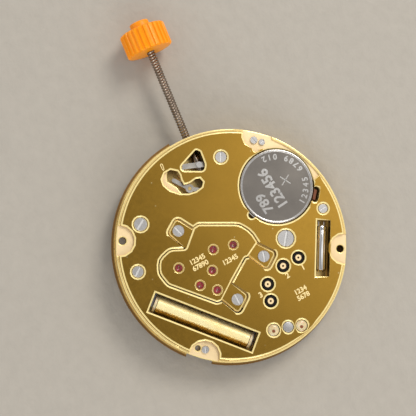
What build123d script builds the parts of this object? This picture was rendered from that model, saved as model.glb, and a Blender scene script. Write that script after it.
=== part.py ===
from build123d import *
import math
import os

# A quartz watch movement seen from its battery side, in millimetres.
# Z points from the dial side to the battery side and z = 0 is the face that the dial lies on.
# X points out along the winding stem, Y points to six o'clock and the origin is the hand centre.

# Plate and cover
casing_radius = 12.2
layout_radius = 11.9
rim_width = 0.3
rim_rise = 0.2
flange_width = 0.4
flange_thick = 0.5
cover_thick = 0.4
cover_gap = 0.02
notch_width = 2.85
notch_depth = 0.5

# Heights of the wheel train, counted up from the floor of the train cavity
motion_recess_depth = 0.5
web_thick = 0.15
wheel_thick = 0.12
first_level_gap = 0.15
level_pitch = 0.25
bridge_headroom = 0.15
bridge_sink = 0.15
bridge_thick = 0.5
ear_thick = 0.25
bridge_gap = 0.12

# Wheels, arbors and jewels
arbor_radius = 0.15
pivot_radius = 0.06
pivot_length = 0.2
end_shake = 0.02
running_gap = 0.02
pinion_overhang = 0.04
pocket_gap = 0.18
hub_radius = 0.42
arm_width = 0.3
wheel_rim_width = 0.32
jewel_radius = 0.4
jewel_thick = 0.3
jewel_fit = 0.005
sink_radius = 0.52
sink_depth = 0.15

# Stepping motor
stator_lift = 0.05
stator_thick = 0.3
stator_bar_width = 1.5
stator_hub_radius = 1.3
stator_foot = 0.3
stator_hole_radius = 0.85
rotor_radius = 0.7
rotor_shake = 0.03
coil_core_width = 0.8
coil_core_thick = 0.3
coil_length = 10.4
coil_former_radius = 0.7
coil_wire = 0.22
coil_wire_gap = 0.01
coil_turns = 6
coil_cheek_radius = 0.97
coil_cheek_thick = 0.25
coil_end_room = 0.57
coil_window_width = 2.09
coil_bay_margin = 0.1
coil_bay_floor = 0.15

# Quartz crystal
crystal_radius = 0.6
crystal_length = 4.8
crystal_edge = 0.08
crystal_lead_radius = 0.08
crystal_lead_length = 0.5
crystal_lead_spread = 0.28
crystal_axis_height = 1.25
crystal_window_length = 5.95
crystal_window_width = 1.45
crystal_bay_margin = 0.12
crystal_bay_floor = 0.6

# Circuit board, chip and test contacts
board_thick = 0.2
board_seat = 1.75
chip_side = 1.7
chip_thick = 0.5
chip_gap = 0.1
contact_radius = 0.34
contact_dimple_radius = 0.09
contact_dimple_depth = 0.1
bush_radius = 0.6
bush_drop = 0.08
bush_gap = 0.02
contact_drop = 0.1
contact_hole_gap = 0.08

# Battery, a cell of 7.9 mm by 1.65 mm
cell_radius = 3.95
cell_height = 1.65
cell_cap_radius = 3.3
cell_cap_height = 0.25
cell_edge = 0.18
cell_gap = 0.08
cell_drop = 0.13
cell_bay_floor = 0.5
insulator_thick = 0.08
insulator_tab_width = 1.1
insulator_tab_thick = 0.3
insulator_tab_reach = 0.3
minus_thick = 0.06
minus_hub_radius = 0.9
minus_leaf_width = 0.7
minus_leaf_length = 2.4
minus_rise = 0.07
minus_dimple_radius = 0.3
plus_width = 0.9
plus_thick = 0.1
plus_gap = 0.03
plus_pocket_radius = 0.6
plus_pocket_reach = 0.12
slot_notch_radius = 0.4

# Stem, crown and the setting levers
stem_height = 1.05
thread_radius = 0.45
stem_radius = 0.5
stem_bore_gap = 0.05
stem_pilot_radius = 0.2
stem_square = 0.44
square_gap = 0.03
stem_groove_radius = 0.25
stem_groove_width = 0.36
stem_pull = 1.0
pilot_start = 2.9
square_start = 4.5
shoulder_start = 8.0
thread_start = 11.6
crown_start = 22.2
crown_length = 2.55
crown_radius = 2.48
crown_rib_depth = 0.18
crown_ribs = 26
crown_boss_radius = 1.05
crown_boss_length = 0.8
crown_edge = 0.12
crown_socket_depth = 1.6
crown_fit = 0.01
clutch_front = 5.25
clutch_radius = 0.62
clutch_length = 1.3
clutch_tooth_depth = 0.15
clutch_teeth = 10
clutch_groove_radius = 0.42
clutch_groove_width = 0.34
clutch_groove_offset = 0.8
lever_low = 1.7
lever_thick = 0.16
lever_width = 0.56
lever_hub_radius = 0.46
lever_tail = 0.5
lever_pin_radius = 0.12
lever_pin_dip = 0.06
lever_pin_play = 0.09
lever_pin_head = 0.34
lever_pin_head_thick = 0.12
post_radius = 0.2
post_rise = 0.05
yoke_width = 0.44
jumper_width = 0.3
jumper_pad_radius = 0.6
keyless_floor = 0.35

# Motion works on the dial side
motion_distance = 2.4
cannon_radius = 0.45
cannon_reach = 1.0
hour_pipe_radius = 0.75
hour_pipe_reach = 0.5
seconds_radius = 0.125
seconds_reach = 0.5
centre_reach = 0.8
motion_wheel_thick = 0.1
minute_level = 0.3
hour_level = 0.12
motion_gap = 0.25
motion_post_radius = 0.2
cock_thick = 0.08
cock_width = 1.3
cock_gap = 0.01

# Screws: head radius, and the shank that all small ones share
shank_radius = 0.25
shank_gap = 0.02
shank_length = 1.1
head_thick = 0.2
slot_width = 0.13
slot_depth = 0.09
head_gap = 0.06
head_drop = 0.03
large_head = 0.7
middle_head = 0.6
small_head = 0.5
lug_head = 0.4
bridge_head = 0.62
stator_head = 0.4
cock_head = 0.3
cock_shank = 0.16
post_head = 0.88
post_shank = 0.5
rivet_head = 0.6
rivet_shank = 0.35
rivet_drop = 0.08
rivet_depth = 0.6
locating_radius = 0.55
locating_drop = 0.06

# Lugs with the fixing holes
lug_radius = 1.6
foot_hole_radius = 0.4
locator_hole_radius = 0.3

# Rounds up to these radii are drawn with few sides, so that many small ones stay light, and a
# rounded corner of an outline takes a chord for every so many degrees
tiny_round = 0.3
tiny_sides = 6
small_round = 0.55
small_sides = 10
middle_round = 1.65
middle_sides = 14
corner_step = 30

# Teeth
addendum_share = 0.8
dedendum_share = 1.0
tip_half_share = 0.12
root_half_share = 0.30
rib_root_share = 0.32
pointed_from = 20
rotor_leaves = 6
second_wheel_teeth = 36
seconds_leaves = 8
seconds_teeth = 40
third_leaves = 6
third_teeth = 36
transfer_leaves = 6
transfer_teeth = 40
centre_leaves = 6
centre_teeth = 45
cannon_teeth = 10
minute_teeth = 30
minute_leaves = 10
hour_teeth = 40
setting_teeth = 12

# Directions in degrees about Z, from the stem
coil_direction = 136.0
crystal_direction = -114.7
lug_directions = (65.5, 142.4, -114.5, -35.5)
flange_span = (8.7, 296.0)
notch_direction = 141.5
crescent_span = (-74.0, -38.0)
minute_direction = 35.0
board_span = (179.0, 244.0)
board_tab_span = (179.0, 203.0)
screw_slots = {
    "large": -53.0,
    "lower": -48.0,
    "small": -78.0,
    "stem": -23.0,
    "bridge": (21.0, -13.0, 6.0),
    "lug": (-20.0, 15.0, -60.0),
    "post": -33.0,
}

# How round the corners of the outlines are, in the order of their corners
bridge_outline_rounds = (0.15, 0.5, 1.6, 1.6, 0.15, 0.15, 0.2, 0.6, 0.3, 0.3, 1.0, 1.2, 1.2, 1.0, 0.25)
ear_round = 0.55
triangle_rounds = (0.35, 0.2, 0.2, 0.5, 0.35)

# Places on the plate as shares of the layout's radius, or of the cover's for those in the rim
rotor_share = (-0.310, 0.283)
second_share = (-0.214, 0.407)
seconds_share = (-0.004, 0.522)
third_share = (-0.136, 0.258)
transfer_share = (0.029, 0.180)
cell_share = (0.328, -0.563)
coil_reach_share = 0.725
crystal_reach_share = 0.807
foot_hole_reach_share = 0.968
contact_shares = ((-0.327, -0.493), (-0.342, -0.337), (-0.436, -0.148), (-0.582, -0.114))
chip_share = (-0.530, -0.400)
post_share = (-0.128, -0.455)
large_screw_share = (0.474, 0.684)
lower_screw_share = (0.103, 0.863)
small_screw_share = (-0.012, -0.871)
stem_screw_share = (0.753, -0.198)
bridge_screw_shares = ((0.296, 0.400), (-0.198, -0.213), (-0.455, 0.151))
lug_screw_shares = ((-0.745, 0.579), (0.783, -0.534), (0.740, -0.595))
locator_hole_share = (-0.708, 0.634)
rivet_shares = ((-0.825, -0.039), (-0.887, -0.284))
locating_share = (-0.851, -0.168)
lever_pivot_share = (0.807, 0.160)
yoke_pivot_share = (0.602, 0.158)
yoke_tail_share = (0.722, 0.262)
plus_notch_share = (0.178, -0.256)
brown_notch_shares = ((0.165, -0.872), (0.095, -0.842))
side_notch_share = (0.708, -0.520)
board_inner_share = 0.42
board_outer_share = 0.715
board_tab_share = 0.965
crescent_inner_share = 0.89
stator_bar_share = 0.559
bridge_outline_shares = (
    (0.277, 0.273), (0.290, 0.216), (0.151, -0.123), (0.045, -0.197), (-0.070, -0.218),
    (-0.157, -0.080), (-0.151, -0.054), (-0.300, 0.140), (-0.420, 0.285), (-0.414, 0.335),
    (-0.105, 0.670), (0.016, 0.705), (0.134, 0.660), (0.181, 0.533), (0.135, 0.405),
)
ear_outline_shares = (
    ((0.063, 0.371), (0.312, 0.510), (0.422, 0.372), (0.182, 0.201)),
    ((-0.004, -0.160), (-0.211, -0.345), (-0.340, -0.191), (-0.100, -0.048)),
    ((-0.245, 0.177), (-0.459, 0.032), (-0.594, 0.193), (-0.361, 0.317)),
)
triangle_shares = ((0.786, 0.206), (0.896, -0.018), (0.867, -0.046), (0.745, -0.043), (0.696, -0.011))
comma_shares = (
    (0.780, 0.207), (0.815, 0.258), (0.807, 0.318), (0.764, 0.359), (0.713, 0.363), (0.648, 0.328),
    (0.592, 0.262), (0.563, 0.191), (0.557, 0.122), (0.573, 0.061), (0.609, 0.034), (0.650, 0.047),
    (0.658, 0.082), (0.643, 0.146), (0.650, 0.200), (0.697, 0.207), (0.741, 0.200),
)
keyless_shares = (
    (0.374, -0.085), (0.680, -0.085), (0.680, -0.262), (0.900, -0.262), (0.900, 0.215),
    (0.790, 0.300), (0.735, 0.318), (0.655, 0.262), (0.560, 0.235), (0.374, 0.165),
)
jumper_shares = ((0.753, -0.198), (0.868, -0.185), (0.868, -0.095), (0.725, -0.091))
cock_shares = ((0.350, -0.140), (0.205, 0.130), (0.075, 0.318))

# Heights and radii that follow from the sizes above
cover_radius = casing_radius - rim_width
flange_radius = casing_radius + flange_width
web_top = motion_recess_depth + web_thick
levels = [web_top + first_level_gap + n * level_pitch for n in range(4)]
bridge_low = levels[3] + level_pitch + bridge_headroom
plate_top = bridge_low + bridge_sink
cover_top = plate_top + cover_thick
bridge_top = bridge_low + bridge_thick
ear_top = bridge_low + ear_thick
stator_low = web_top + stator_lift
stator_top = stator_low + stator_thick
coil_height = stator_top + coil_core_thick / 2
coil_window_length = coil_length + 2 * coil_end_room
cell_top = cover_top - cell_drop
cell_low = cell_top - cell_height
board_top = board_seat + board_thick
clutch_pin_x = clutch_front + clutch_groove_offset
BASE = (Align.CENTER, Align.CENTER, Align.MIN)


def spot(share):
    """The place on the plate that a pair of shares of the layout's radius stands for."""
    return (share[0] * layout_radius, share[1] * layout_radius)


def rim_spot(share):
    """The place in the rim that a pair of shares of the cover's radius stands for."""
    return (share[0] * cover_radius, share[1] * cover_radius)


def polar(radius, degrees):
    """The place at a radius and an angle about Z."""
    turn = math.radians(degrees)
    return (radius * math.cos(turn), radius * math.sin(turn))


def span(first, second):
    """The distance from one place to another."""
    return math.dist(first, second)


def heading(first, second):
    """The angle in degrees from one place to another."""
    return math.degrees(math.atan2(second[1] - first[1], second[0] - first[0]))


def ring(radius):
    """A circle, or an even-sided outline where it is small."""
    for limit, sides in ((tiny_round, tiny_sides), (small_round, small_sides), (middle_round, middle_sides)):
        if radius <= limit:
            return RegularPolygon(radius, sides)
    return Circle(radius)


def disc(radius, low, high, place=(0, 0)):
    """A round bar that stands from low to high on a place."""
    return slab(Pos(place[0], place[1]) * ring(radius), low, high)


def true_disc(radius, low, high, place=(0, 0)):
    """A round bar with a true cylinder, for the places that other pieces are fitted to."""
    return Pos(place[0], place[1], low) * Cylinder(radius, high - low, align=BASE)


def slab(sketch, low, high):
    """A flat sketch drawn out from low to high."""
    return extrude(Pos(0, 0, low) * sketch, amount=high - low, dir=(0, 0, 1))


def strip(length, width, place, turn):
    """A rectangle on the plan, centred on a place and turned about it."""
    return Pos(place[0], place[1]) * Rot(0, 0, turn) * Rectangle(length, width)


def link(first, second, width):
    """A strip with round ends from one place to another."""
    middle = ((first[0] + second[0]) / 2, (first[1] + second[1]) / 2)
    bar = strip(span(first, second), width, middle, heading(first, second))
    ends = [Pos(*place) * ring(width / 2) for place in (first, second)]
    return bar + ends


def sector(inner, outer, first, last):
    """The part of a ring between two angles, as a flat sketch."""
    edges = Edge.make_circle(outer, start_angle=first, end_angle=last)
    back = Edge.make_circle(inner, start_angle=first, end_angle=last)
    sides = [Line(polar(inner, angle), polar(outer, angle)) for angle in (first, last)]
    return make_face([edges, back] + sides)


def plain_outline(shares):
    """A closed outline with sharp corners at places given as shares."""
    return Polygon(*[spot(share) for share in shares], align=None)


def rounded_corner(before, corner, after, radius):
    """The points that take an outline round a corner, on an arc that touches both of its sides."""
    first, last = heading(corner, before), heading(corner, after)
    between = (last - first + 180) % 360 - 180
    side = math.copysign(1, between)
    reach = radius / math.sin(math.radians(abs(between) / 2))
    x, y = polar(reach, first + between / 2)
    turn = 180 - abs(between)
    steps = math.ceil(turn / corner_step)
    points = []
    for n in range(steps + 1):
        dx, dy = polar(radius, first - side * (90 + turn * n / steps))
        points.append((corner[0] + x + dx, corner[1] + y + dy))
    return points


def outline(shares, rounds):
    """A closed outline through places given as shares, with its corners rounded."""
    places = [spot(share) for share in shares]
    points = []
    for n, radius in enumerate(rounds):
        before, after = places[n - 1], places[(n + 1) % len(places)]
        points += rounded_corner(before, places[n], after, radius) if radius else [places[n]]
    return Polygon(*points, align=None)


def gear(teeth, pitch_radius, start):
    """Teeth about the origin, the first one centred on the angle start: flat-topped leaves on a
    pinion and pointed teeth on a wheel."""
    module = 2 * pitch_radius / teeth
    tip = pitch_radius + addendum_share * module
    root = pitch_radius - dedendum_share * module
    step = 360 / teeth
    flanks = ((root, -0.5), (tip, 0))
    if teeth < pointed_from:
        flanks = (
            (root, -root_half_share),
            (tip, -tip_half_share),
            (tip, tip_half_share),
            (root, root_half_share),
        )
    points = []
    for n in range(teeth):
        for radius, half in flanks:
            points.append(polar(radius, start + (n + half) * step))
    return Polygon(*points, align=None)


def meshed_start(start, teeth, direction, mate_teeth):
    """The start angle of a mate that lies in a direction and whose gap takes the gear's tooth."""
    step = 360 / teeth
    lead = ((start - direction) % step) / step
    return direction + 180 + (0.5 - lead) * 360 / mate_teeth


def pitch_radii(first, second, distance):
    """The pitch radii of two gears with these teeth at this distance."""
    return distance * first / (first + second), distance * second / (first + second)


def crossed(sketch, radius):
    """A wheel's sketch with four openings between its hub, arms and rim."""
    window = RegularPolygon(radius - wheel_rim_width, 8) - Rot(0, 0, 45) * RegularPolygon(hub_radius, 4)
    for turn in (45, 135):
        window -= Rot(0, 0, turn) * Rectangle(2 * radius, arm_width)
    return sketch - window


rotor_at = spot(rotor_share)
second_at = spot(second_share)
seconds_at = spot(seconds_share)
third_at = spot(third_share)
transfer_at = spot(transfer_share)
centre_at = (0, 0)
cell_at = spot(cell_share)
lever_pivot = spot(lever_pivot_share)
yoke_pivot = spot(yoke_pivot_share)

# Pitch radii of each mesh, worked out from the distance between the two arbors
rotor_pitch, second_pitch = pitch_radii(rotor_leaves, second_wheel_teeth, span(rotor_at, second_at))
seconds_drive, seconds_pitch = pitch_radii(seconds_leaves, seconds_teeth, span(second_at, seconds_at))
third_drive, third_pitch = pitch_radii(third_leaves, third_teeth, span(second_at, third_at))
transfer_drive, transfer_pitch = pitch_radii(transfer_leaves, transfer_teeth, span(third_at, transfer_at))
centre_drive, centre_pitch = pitch_radii(centre_leaves, centre_teeth, span(transfer_at, centre_at))

# The minute wheel stands beside the hand centre and the setting wheel on the line of the stem
cannon_drive, minute_pitch = pitch_radii(cannon_teeth, minute_teeth, motion_distance)
minute_drive, hour_pitch = pitch_radii(minute_leaves, hour_teeth, motion_distance)
minute_at = polar(motion_distance, minute_direction)
setting_pitch = minute_pitch * setting_teeth / minute_teeth
setting_reach = math.sqrt((minute_pitch + setting_pitch) ** 2 - minute_at[1] ** 2)
setting_at = (minute_at[0] + setting_reach, 0)


def tip_radius(teeth, pitch_radius):
    """The outer radius of a gear's teeth."""
    return pitch_radius * (1 + 2 * addendum_share / teeth)


def coil_frame(across, along):
    """A place given across the coil from the hand centre and along its axis."""
    axis = math.radians(coil_direction)
    x = across * math.cos(axis) - along * math.sin(axis)
    y = across * math.sin(axis) + along * math.cos(axis)
    return (x, y)


coil_reach = coil_reach_share * layout_radius
coil_at = coil_frame(coil_reach, 0)
coil_turn = coil_direction + 90
stator_bar_at = stator_bar_share * layout_radius
crystal_at = polar(crystal_reach_share * layout_radius, crystal_direction)
crystal_turn = crystal_direction + 90


def bridge_opening():
    """The opening of the cover round the train bridge and its three screw ears."""
    shape = outline(bridge_outline_shares, bridge_outline_rounds)
    for ear in ear_outline_shares:
        shape += outline(ear, (0, ear_round, ear_round, 0))
    return shape


def bridge_bed():
    """The bed for the bridge in the plate, with plain corners."""
    shape = plain_outline(bridge_outline_shares)
    for ear in ear_outline_shares:
        shape += plain_outline(ear)
    return shape


def stator_sketch(extra):
    """The stator's outline: a bar beside the coil, a hub round the rotor and two feet."""
    length = coil_window_length
    shape = strip(length, stator_bar_width, coil_frame(stator_bar_at, 0), coil_turn)
    shape += Pos(*rotor_at) * ring(stator_hub_radius)
    foot_reach = coil_reach + coil_core_width / 2
    foot_width = foot_reach - stator_bar_at
    for side in (-1, 1):
        middle = coil_frame(stator_bar_at + foot_width / 2, side * (length - stator_foot) / 2)
        shape += strip(stator_foot, foot_width, middle, coil_turn)
    return offset(shape, extra, kind=Kind.INTERSECTION) if extra else shape


def keyless_bay():
    """The bay for the stem's clutch and the setting levers."""
    return plain_outline(keyless_shares)


def board_sketch():
    """The circuit board: a ring sector with a tab out to the three posts at the rim."""
    inner = board_inner_share * layout_radius
    outer = board_outer_share * layout_radius
    tab = board_tab_share * layout_radius
    return sector(inner, outer, *board_span) + sector(inner, tab, *board_tab_span)


def screw(place, head, low, high, shank, depth, turn, slotted=slot_depth):
    """A slotted screw: a flat head from low to high and a shank that goes down by depth."""
    solid = disc(head, low, high, place) + disc(shank, low - depth, low, place)
    slot = slab(strip(3 * head, slot_width, place, turn), high - slotted, high + slotted)
    return solid - slot


# Fixed screws, each as its place, head radius and slot angle
cover_screws = (
    (spot(large_screw_share), large_head, screw_slots["large"]),
    (spot(lower_screw_share), middle_head, screw_slots["lower"]),
    (spot(small_screw_share), small_head, screw_slots["small"]),
    (spot(stem_screw_share), middle_head, screw_slots["stem"]),
)
cover_head_high = cover_top - head_drop
cover_head_low = cover_head_high - head_thick
stator_screw_along = (coil_window_length - stator_foot) / 2 - shank_radius
stator_screws = [coil_frame(stator_bar_at, side * stator_screw_along) for side in (-1, 1)]


def main_plate():
    """The milled plate: flange, wall and rim, pockets for each group of pieces and lug holes."""
    plate = disc(casing_radius, 0, plate_top + rim_rise)
    plate -= disc(cover_radius + cover_gap, plate_top, cover_top)
    plate += slab(sector(casing_radius - rim_width, flange_radius, *flange_span), 0, flange_thick)
    notch_at = polar(flange_radius, notch_direction)
    plate -= slab(strip(2 * notch_depth, notch_width, notch_at, notch_direction), 0, flange_thick)
    for direction in lug_directions:
        plate -= disc(lug_radius, plate_top, cover_top, polar(cover_radius, direction))
    plate -= train_pockets()
    plate -= slab(bridge_bed(), bridge_low, cover_top)
    plate -= electric_pockets()
    plate -= keyless_pockets()
    plate -= motion_pockets()
    plate -= plate_holes()
    plate += disc(jumper_pad_radius, keyless_floor, lever_low, spot(stem_screw_share))
    plate -= disc(shank_radius + shank_gap, keyless_floor, lever_low, spot(stem_screw_share))
    for place in (lever_pivot, yoke_pivot):
        plate += disc(post_radius, keyless_floor, lever_low + lever_thick + post_rise, place)
    for place in (setting_at, minute_at):
        plate += disc(motion_post_radius, hour_level, motion_recess_depth, place)
    return plate


def train_pockets():
    """Round sinks for the wheels, and the stator's bed, milled down to the web."""
    sinks = (
        (centre_at, tip_radius(centre_teeth, centre_pitch)),
        (transfer_at, tip_radius(transfer_teeth, transfer_pitch)),
        (seconds_at, tip_radius(seconds_teeth, seconds_pitch)),
        (second_at, tip_radius(second_wheel_teeth, second_pitch)),
        (third_at, tip_radius(third_teeth, third_pitch)),
    )
    pocket = slab(stator_sketch(pocket_gap), web_top, cover_top)
    for place, radius in sinks:
        sink = Pos(*place) * RegularPolygon(radius + pocket_gap, middle_sides)
        pocket += slab(sink, web_top, cover_top)
    return pocket


def electric_pockets():
    """Bays for the cell, its contact, the coil, the crystal, the board and the chip."""
    pocket = disc(cell_radius + cell_gap, cell_bay_floor, cover_top, cell_at)
    pocket += disc(plus_pocket_radius, cell_bay_floor, cover_top, plus_notch())
    pocket += slab(brown_notch(), cell_bay_floor, cover_top)
    length = coil_window_length + 2 * coil_bay_margin
    width = coil_window_width + 2 * coil_bay_margin
    pocket += slab(strip(length, width, coil_at, coil_turn), coil_bay_floor, cover_top)
    length = crystal_window_length + 2 * crystal_bay_margin
    width = crystal_window_width + 2 * crystal_bay_margin
    pocket += slab(strip(length, width, crystal_at, crystal_turn), crystal_bay_floor, cover_top)
    pocket += slab(offset(board_sketch(), bush_gap, kind=Kind.INTERSECTION), board_seat, cover_top)
    side = chip_side + 2 * chip_gap
    chip = strip(side, side, spot(chip_share), crystal_turn)
    pocket += slab(chip, board_seat - chip_thick - chip_gap, cover_top)
    return pocket


def beside_cell(share, reach):
    """A place so far outside the cell's rim, in the direction of a place given as shares."""
    x, y = polar(cell_radius + reach, heading(cell_at, spot(share)))
    return cell_at[0] + x, cell_at[1] + y


def plus_notch():
    """The place of the notch beside the cell where the positive contact stands."""
    return beside_cell(plus_notch_share, plus_pocket_reach)


def brown_notch_ends():
    """The two ends of the notch beside the cell where the insulating sheet's tab stands."""
    return [beside_cell(share, insulator_tab_reach) for share in brown_notch_shares]


def brown_notch():
    """The outline of the notch for the insulating sheet's tab."""
    return link(*brown_notch_ends(), 2 * slot_notch_radius)


def keyless_pockets():
    """The bay round the stem, with the bores for its pilot and its body."""
    pocket = slab(keyless_bay(), keyless_floor, cover_top)
    near = min(share[0] for share in keyless_shares) * layout_radius
    far = max(share[0] for share in keyless_shares) * layout_radius
    pocket += axle(stem_pilot_radius + running_gap, pilot_start - running_gap, near + running_gap)
    pocket += axle(stem_radius + stem_bore_gap, far - running_gap, flange_radius)
    return pocket


def motion_pockets():
    """Sinks on the dial side for the hour, minute and setting wheels and their cock."""
    wheels = (
        (centre_at, tip_radius(hour_teeth, hour_pitch)),
        (minute_at, tip_radius(minute_teeth, minute_pitch)),
        (setting_at, tip_radius(setting_teeth, setting_pitch)),
    )
    pocket = slab(cock_sketch(cock_gap), 0, cock_thick)
    for place, radius in wheels:
        pocket += disc(radius + pocket_gap, 0, motion_recess_depth, place)
    return pocket


def plate_holes():
    """Bores for arbors, jewels, screws and posts, and the holes of the four lugs."""
    holes = disc(arbor_radius + running_gap, 0, web_top)
    holes += disc(seconds_radius + running_gap, 0, web_top, seconds_at)
    for place in (rotor_at, second_at, third_at, transfer_at):
        holes += disc(jewel_radius + jewel_fit, motion_recess_depth, web_top, place)
    for direction in (lug_directions[0], lug_directions[2]):
        reach = foot_hole_reach_share * cover_radius
        holes += true_disc(foot_hole_radius, 0, plate_top, polar(reach, direction))
    holes += true_disc(locator_hole_radius, 0, plate_top, rim_spot(locator_hole_share))
    depth = cover_head_low - shank_length
    for place, head, turn in cover_screws[:3]:
        holes += disc(shank_radius + shank_gap, depth - end_shake, plate_top, place)
    for share in bridge_screw_shares:
        low = ear_top - shank_length - end_shake
        holes += disc(shank_radius + shank_gap, low, plate_top, spot(share))
    low = plate_top - shank_length
    holes += disc(post_shank + shank_gap, low - end_shake, plate_top, spot(post_share))
    for share in rivet_shares + (locating_share,):
        holes += disc(rivet_shank + shank_gap, board_seat - rivet_depth, board_seat, spot(share))
        holes += disc(rivet_head + head_gap, board_top, plate_top, spot(share))
    for place in cock_screw_places():
        holes += disc(cock_shank + shank_gap, cock_thick, motion_recess_depth, place)
    return holes


def cover_plate():
    """The gilt cover: windows over the bridge, coil, crystal and levers, and screw holes."""
    cover = disc(cover_radius, plate_top, cover_top)
    cut = bridge_opening()
    for share in bridge_screw_shares:
        cut += Pos(*spot(share)) * ring(bridge_head + head_gap)
    cut += Pos(*cell_at) * Circle(cell_radius + cell_gap)
    cut += brown_notch()
    for place in (plus_notch(), spot(side_notch_share)):
        cut += Pos(*place) * ring(slot_notch_radius)
    inner = crescent_inner_share * cover_radius
    cut += sector(inner, flange_radius, *crescent_span)
    for direction in lug_directions:
        cut += Pos(*polar(cover_radius, direction)) * ring(lug_radius)
    cut += strip(coil_window_length, coil_window_width, coil_at, coil_turn)
    cut += strip(crystal_window_length, crystal_window_width, crystal_at, crystal_turn)
    cut += outline(triangle_shares, triangle_rounds)
    cut += plain_outline(comma_shares)
    for share in contact_shares:
        cut += Pos(*spot(share)) * ring(bush_radius + contact_hole_gap)
    cut += Pos(*spot(post_share)) * ring(post_head + head_gap)
    for share in rivet_shares:
        cut += Pos(*spot(share)) * ring(rivet_head + head_gap)
    cut += Pos(*spot(locating_share)) * ring(locating_radius + head_gap)
    cover -= slab(cut, plate_top, cover_top)
    for place, head, turn in cover_screws:
        cover -= disc(head + head_gap, cover_head_low, cover_top, place)
        cover -= disc(shank_radius + shank_gap, plate_top, cover_head_low, place)
    return cover


def train_bridge():
    """The bridge over the wheels: a raised middle, three lower ears and six jewel sinks."""
    whole = offset(bridge_opening(), -bridge_gap, kind=Kind.INTERSECTION)
    middle = offset(outline(bridge_outline_shares, bridge_outline_rounds), -bridge_gap, kind=Kind.INTERSECTION)
    bridge = slab(whole, bridge_low, ear_top) + slab(middle, ear_top, bridge_top)
    for share in bridge_screw_shares:
        bridge -= disc(bridge_head + head_gap, ear_top, cover_top, spot(share))
        bridge -= disc(shank_radius + shank_gap, bridge_low, ear_top, spot(share))
    for place in jewel_places():
        bridge -= disc(jewel_radius + jewel_fit, bridge_low, bridge_top, place)
        bridge -= disc(sink_radius, bridge_top - sink_depth, bridge_top, place)
    return bridge


def jewel_places():
    """The six places where the bridge holds an arbor's upper pivot."""
    return (centre_at, transfer_at, third_at, seconds_at, second_at, rotor_at)


def jewel(place, low, high):
    """A ring of ruby with a pivot hole."""
    return disc(jewel_radius, low, high, place) - disc(pivot_radius + running_gap, low, high, place)


def upper_jewels():
    """Six jewels in the bridge."""
    low = bridge_low + jewel_fit
    return [jewel(place, low, low + jewel_thick) for place in jewel_places()]


def lower_jewels():
    """Four jewels in the web of the plate."""
    return [jewel(place, motion_recess_depth, web_top) for place in jewel_places()[1:3] + jewel_places()[4:]]


def bridge_screws():
    """Three screws that hold the bridge's ears."""
    return [
        screw(spot(share), bridge_head, ear_top, ear_top + head_thick, shank_radius, shank_length, turn)
        for share, turn in zip(bridge_screw_shares, screw_slots["bridge"])
    ]


def cover_screw_set():
    """Four screws that hold the cover."""
    return [
        screw(place, head, cover_head_low, cover_head_high, shank_radius, shank_length, turn)
        for place, head, turn in cover_screws
    ]


def lug_screw_set():
    """The three short screws on the lugs that clamp the dial's feet."""
    depth = head_thick
    return [
        screw(rim_spot(share), lug_head - shrink, plate_top, plate_top + depth, shank_radius, depth, turn)
        for share, turn, shrink in zip(lug_screw_shares, screw_slots["lug"], (0, 0, slot_width / 2))
    ]


def lug_screw_bores():
    """The blind holes that the lug screws go into."""
    return [
        disc(shank_radius + shank_gap, plate_top - 2 * head_thick, plate_top, rim_spot(share))
        for share in lug_screw_shares
    ]


def arbor(place, low=None, low_radius=pivot_radius, high_radius=arbor_radius):
    """An arbor between web and bridge, with a pivot at each end."""
    floor = web_top + end_shake
    roof = bridge_low - end_shake
    foot = web_top - web_thick + end_shake if low is None else low
    shaft = disc(high_radius, floor, roof, place)
    shaft += disc(pivot_radius, roof, bridge_low + pivot_length, place)
    return shaft + disc(low_radius, foot, floor, place)


def toothed(place, teeth, pitch_radius, start, low, high, open_wheel=False):
    """A gear on its place from low to high, with arms if it is a wheel."""
    sketch = gear(teeth, pitch_radius, start)
    if open_wheel:
        sketch = crossed(sketch, pitch_radius)
    return slab(Pos(*place) * sketch, low, high)


def train_wheel(place, teeth, pitch_radius, start, level):
    """A wheel of the train at one of the levels."""
    return toothed(place, teeth, pitch_radius, start, levels[level], levels[level] + wheel_thick, True)


def train_pinion(place, leaves, pitch_radius, start, level):
    """A pinion that reaches a little past both faces of the wheel at a level."""
    low = levels[level] - pinion_overhang
    high = levels[level] + wheel_thick + pinion_overhang
    return toothed(place, leaves, pitch_radius, start, low, high)


def rotor_magnet():
    """The round two-pole magnet inside the stator's hole."""
    magnet = disc(rotor_radius, stator_low + rotor_shake, stator_top - rotor_shake, rotor_at)
    return magnet - disc(arbor_radius, stator_low, stator_top, rotor_at)


def rotor_pinion():
    """The rotor's arbor with six leaves that drive the second wheel."""
    start = heading(rotor_at, second_at)
    return arbor(rotor_at) + train_pinion(rotor_at, rotor_leaves, rotor_pitch, start, 1)


def second_wheel():
    """The wheel that the rotor drives, with one pinion for the seconds and one for the third wheel."""
    start = meshed_start(0, rotor_leaves, 0, second_wheel_teeth) + heading(rotor_at, second_at)
    wheel = train_wheel(second_at, second_wheel_teeth, second_pitch, start, 1)
    wheel += arbor(second_at)
    turn = heading(second_at, seconds_at)
    wheel += train_pinion(second_at, seconds_leaves, seconds_drive, turn, 2)
    turn = heading(second_at, third_at)
    return wheel + train_pinion(second_at, third_leaves, third_drive, turn, 3)


def seconds_wheel():
    """The wheel at six o'clock whose arbor carries the small seconds hand."""
    start = meshed_start(0, seconds_leaves, 0, seconds_teeth) + heading(second_at, seconds_at)
    wheel = train_wheel(seconds_at, seconds_teeth, seconds_pitch, start, 2)
    wheel += true_disc(seconds_radius, -seconds_reach, 0, seconds_at)
    return wheel + arbor(seconds_at, 0, seconds_radius)


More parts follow.
